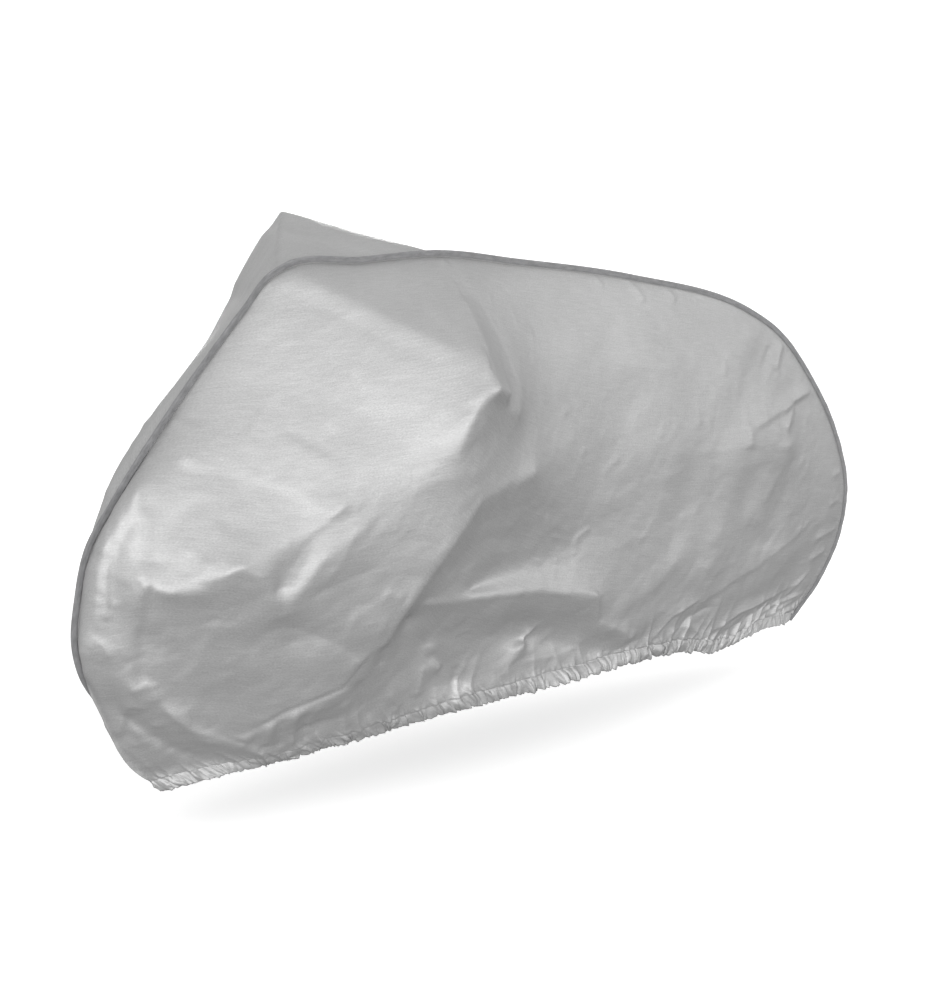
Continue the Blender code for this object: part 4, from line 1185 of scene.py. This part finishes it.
def hem_piece(name, side, strip, hem, looks):
    """The gathered strip, stitched down over the elastic, and its ruffled, turned-up casing."""
    share = np.linspace(0.0, 1.0, CASING_CELLS + 1)
    along = run_of(hem)
    wave, wave_low, shift = ruffles(along), ruffles(along), ruffles(along)
    knots = np.linspace(0.0, along[-1], RUFFLE_KNOTS)
    slant = np.interp(along, knots, rng.uniform(-RUFFLE_SLANT, RUFFLE_SLANT, RUFFLE_KNOTS))
    held = eased(np.minimum(share, 1.0 - share) / HELD_END)
    way_out = normals_of(strip, side)
    fullness = by_row(CASING_FULLNESS, share)
    reach = millis(RUFFLES, share, 4)
    reach = reach * np.interp(along, knots, rng.uniform(*RUFFLE_REACH, RUFFLE_KNOTS))
    reach = np.minimum(reach, RUFFLE_HIGHEST * (HEM_STRIP - CASING))
    corners = rng.uniform(-1.0, 1.0, (LATTICE, LATTICE))
    rows = []

    def crinkle(down):
        return CRINKLE * held * in_triangles(along / CRINKLE_ALONG, down / CRINKLE_DOWN, corners)

    for row, out in zip(strip, way_out):
        above = np.linalg.norm(strip[-1] - row, axis=1)
        lift = wave(along - slant * above) * RUFFLE_LIFT * held * fading(above, reach) ** 2
        lift = lift + crinkle(-above) * fading(above, CRINKLE_REACH) * fullness
        rows.append(row + lift[:, None] * out)
    start, out = strip[-1], way_out[-1]
    down = hem - start
    deep = np.linalg.norm(down, axis=1)
    ahead = unit(np.gradient(start, axis=0))
    for _, depth, stands, ruffled in CASING_SECTION:
        swing = depth ** 2
        leaning = along + slant * depth * deep
        lift = stands * MILLI * fullness + ruffled * held * (
            wave(leaning) * (1.0 - swing) + wave_low(leaning) * swing + crinkle(depth * deep))
        place = start + depth * down + lift[:, None] * out
        place = place + (RUFFLE_SWAY * ruffled * held * shift(along))[:, None] * ahead
        drop = (EDGE_SWAY * swing * held * shift(along))[:, None]
        rows.append(place + drop * down / deep[:, None])
    section = np.stack(rows)
    faces = grid_faces(*section.shape[:2], turned=side == FAR)
    flat = laid_flat(run_of(section, 1), run_of(section) + HEM_OFFSET)
    return new_piece(name, section, faces, flat, looks)


def tape_piece(name, looks):
    """The folded tape over the seam allowance, a U section with a round back, waving a little."""
    places, outwards, across = seam_line()
    back = TAPE_OUTSIDE * TAPE_ROUND
    section = [(-TAPE_OUTSIDE * out, up) for out, up in TAPE_SIDE]
    section += [(-TAPE_OUTSIDE * math.cos(angle), TAPE_TOP - back + back * math.sin(angle))
                for angle in np.linspace(0.0, math.pi, BACK_POINTS)]
    section += [(TAPE_OUTSIDE * out, up) for out, up in TAPE_SIDE[::-1]]
    section += [(TAPE_INSIDE, TAPE_CLEAR), (TAPE_INSIDE, FIN + SEAM_GAP),
                (-TAPE_INSIDE, FIN + SEAM_GAP), (-TAPE_INSIDE, TAPE_CLEAR)]
    along = run_of(places)
    knots = np.arange(0.0, along[-1], WAVER_STEP)
    waver = np.interp(along, knots, rng.uniform(-1.0, 1.0, len(knots)))
    rings = []
    for offset, up in section:
        outside = 1.0 if abs(offset) > TAPE_INSIDE * 1.01 and up > TAPE_CLEAR else 0.0
        bulge = outside * TAPE_WAVER * waver
        share = LOW_WAVER if up < TAPE_TOP * LOW_PART else 1.0
        sideways = offset + bulge * np.sign(offset) * share
        rings.append(places + (up + bulge)[:, None] * outwards + sideways[:, None] * across)
    rings = np.stack(rings, axis=1)
    count = len(section)
    faces = grid_faces(len(places), count, closed=True)
    faces += [range(count), [(len(places) - 1) * count + k for k in reversed(range(count))]]
    flat = laid_flat(along[:, None], run_of(rings, 1))
    return new_piece(name, rings, faces, flat, looks)


def stitches_piece(name, looks):
    """Stitches along both sides of the tape, each a short thread that dips in at its ends."""
    places, outwards, across = seam_line()
    along = run_of(places)
    ahead = unit(np.gradient(places, axis=0))
    turn = 2.0 * math.pi * np.arange(STITCH_SIDES) / STITCH_SIDES
    ring = range(STITCH_SIDES)
    vertices, faces, flat = [], [], []
    for side in (NEAR, FAR):
        for middle in np.arange(STITCH_PITCH, along[-1] - STITCH_PITCH, STITCH_PITCH):
            middle += rng.uniform(-STITCH_UNEVEN, STITCH_UNEVEN) * STITCH_PITCH
            place, up, over, on = [between(middle, along, rows)
                                   for rows in (places, outwards, across, ahead)]
            first = len(vertices)
            for share, size, sunk in STITCH_SHAPE:
                centre = (place + (STITCH_HEIGHT + share * STITCH_RISE) * up
                          + share * STITCH_LENGTH * on
                          + side * (TAPE_OUTSIDE * STITCH_DEPTH + sunk * STITCH_RADIUS) * over)
                for angle in turn:
                    round_it = math.cos(angle) * up + math.sin(angle) * over
                    vertices.append(centre + STITCH_RADIUS * size * round_it)
                    flat.append((share * STITCH_LENGTH, angle * STITCH_RADIUS))
            last = len(vertices) - STITCH_SIDES
            for low in range(first, last, STITCH_SIDES):
                for k in ring:
                    n = (k + 1) % STITCH_SIDES
                    faces.append((low + k, low + n, low + STITCH_SIDES + n, low + STITCH_SIDES + k))
            faces += [[first + k for k in ring], [last + k for k in reversed(ring)]]
    return new_piece(name, np.array(vertices), faces, np.array(flat), looks)


def light_from_above(name):
    """A pale surround that is brightest overhead and dark below the floor."""
    world = bpy.data.worlds.new(name)
    bpy.context.scene.world = world
    world.use_nodes = True
    tree = world.node_tree
    way = node(tree, "TexCoord", {})["Generated"]
    height = node(tree, "SeparateXYZ", {"Vector": way})["Z"]
    strength = spread(tree, height, SURROUND_BELOW, SURROUND_ABOVE, BELOW_FROM, ABOVE_FROM)
    background = tree.nodes["Background"]
    feed(tree, background.inputs["Color"], (1.0, 1.0, 1.0, 1.0))
    feed(tree, background.inputs["Strength"], strength)


# The cloth of both sides, with their hem strips
near_looks = coated_cloth("coated_cloth_near_looks")
far_looks = coated_cloth("coated_cloth_far_looks")
near_cloth, near_strip, near_hem = draped_cloth(
    NEAR, NEAR_HEM, seen_folds(NEAR) + SOFT_FOLDS, NEAR_RISE, SEEN_CREASES, SEEN_SWELLS,
    NEAR_CRUMPLES)
far_cloth, far_strip, far_hem = draped_cloth(
    FAR, FAR_HEM, FAR_FOLDS, FAR_RISE, FAR_CREASES, FAR_SWELLS, FAR_CRUMPLES)
near_side = cloth_piece("near_side_cloth", NEAR, near_cloth, near_looks)
far_side = cloth_piece("far_side_cloth", FAR, far_cloth, far_looks)
near_casing = hem_piece(
    "near_hem_casing", NEAR, near_strip, near_hem, near_looks)
far_casing = hem_piece("far_hem_casing", FAR, far_strip, far_hem, far_looks)
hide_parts("panel_near")
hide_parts("panel_near")
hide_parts("panel_far")
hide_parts("panel_far")

# The tape over the seam, and its thread
tape = tape_piece("seam_tape", woven_tape("woven_tape_looks"))
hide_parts("binding_seam")
stitches_piece("seam_stitches", thread("thread_looks"))

# Plain pale floor
floor_mesh = bpy.data.meshes.new("plain_floor")
half = FLOOR_SIZE / 2
corners = ((-half, -half), (half, -half), (half, half), (-half, half))
floor_mesh.from_pydata([(x, y, FLOOR_Z) for x, y in corners], [], [(0, 1, 2, 3)])
floor_mesh.materials.append(material(
    "pale_floor", FLOOR_GREY, FLOOR_ROUGHNESS, Emission_Color=(*FLOOR_GREY, 1.0),
    Emission_Strength=FLOOR_GLOW)[0])
floor = linked("plain_floor", floor_mesh)
floor.visible_diffuse = False
floor.visible_glossy = False

# Soft studio light: broad suns from the front left, the near side, the rear and behind, over a pale
# surround
for name, way_to_light, strength, angle in LIGHTS:
    light = bpy.data.lights.new(name, "SUN")
    light.energy = strength
    light.angle = math.radians(angle)
    linked(name, light).rotation_euler = (-Vector(way_to_light)).to_track_quat("-Z", "Y").to_euler()
light_from_above("pale_surround")
bpy.context.scene.view_settings.view_transform = "Standard"

# The camera, at the view in which the folds were measured
camera = bpy.data.cameras.new("main_camera")
camera.sensor_fit = "VERTICAL"
camera.sensor_height = SENSOR
camera.sensor_width = SENSOR
camera.lens = VIEW_FOCAL / IMAGE_HEIGHT * SENSOR
camera.clip_end = SIGHT
eye = linked("main_camera", camera)
eye.location = VIEW_PLACE
eye.rotation_euler = Vector(view_axes()[0]).to_track_quat("-Z", "Y").to_euler()
bpy.context.scene.camera = eye
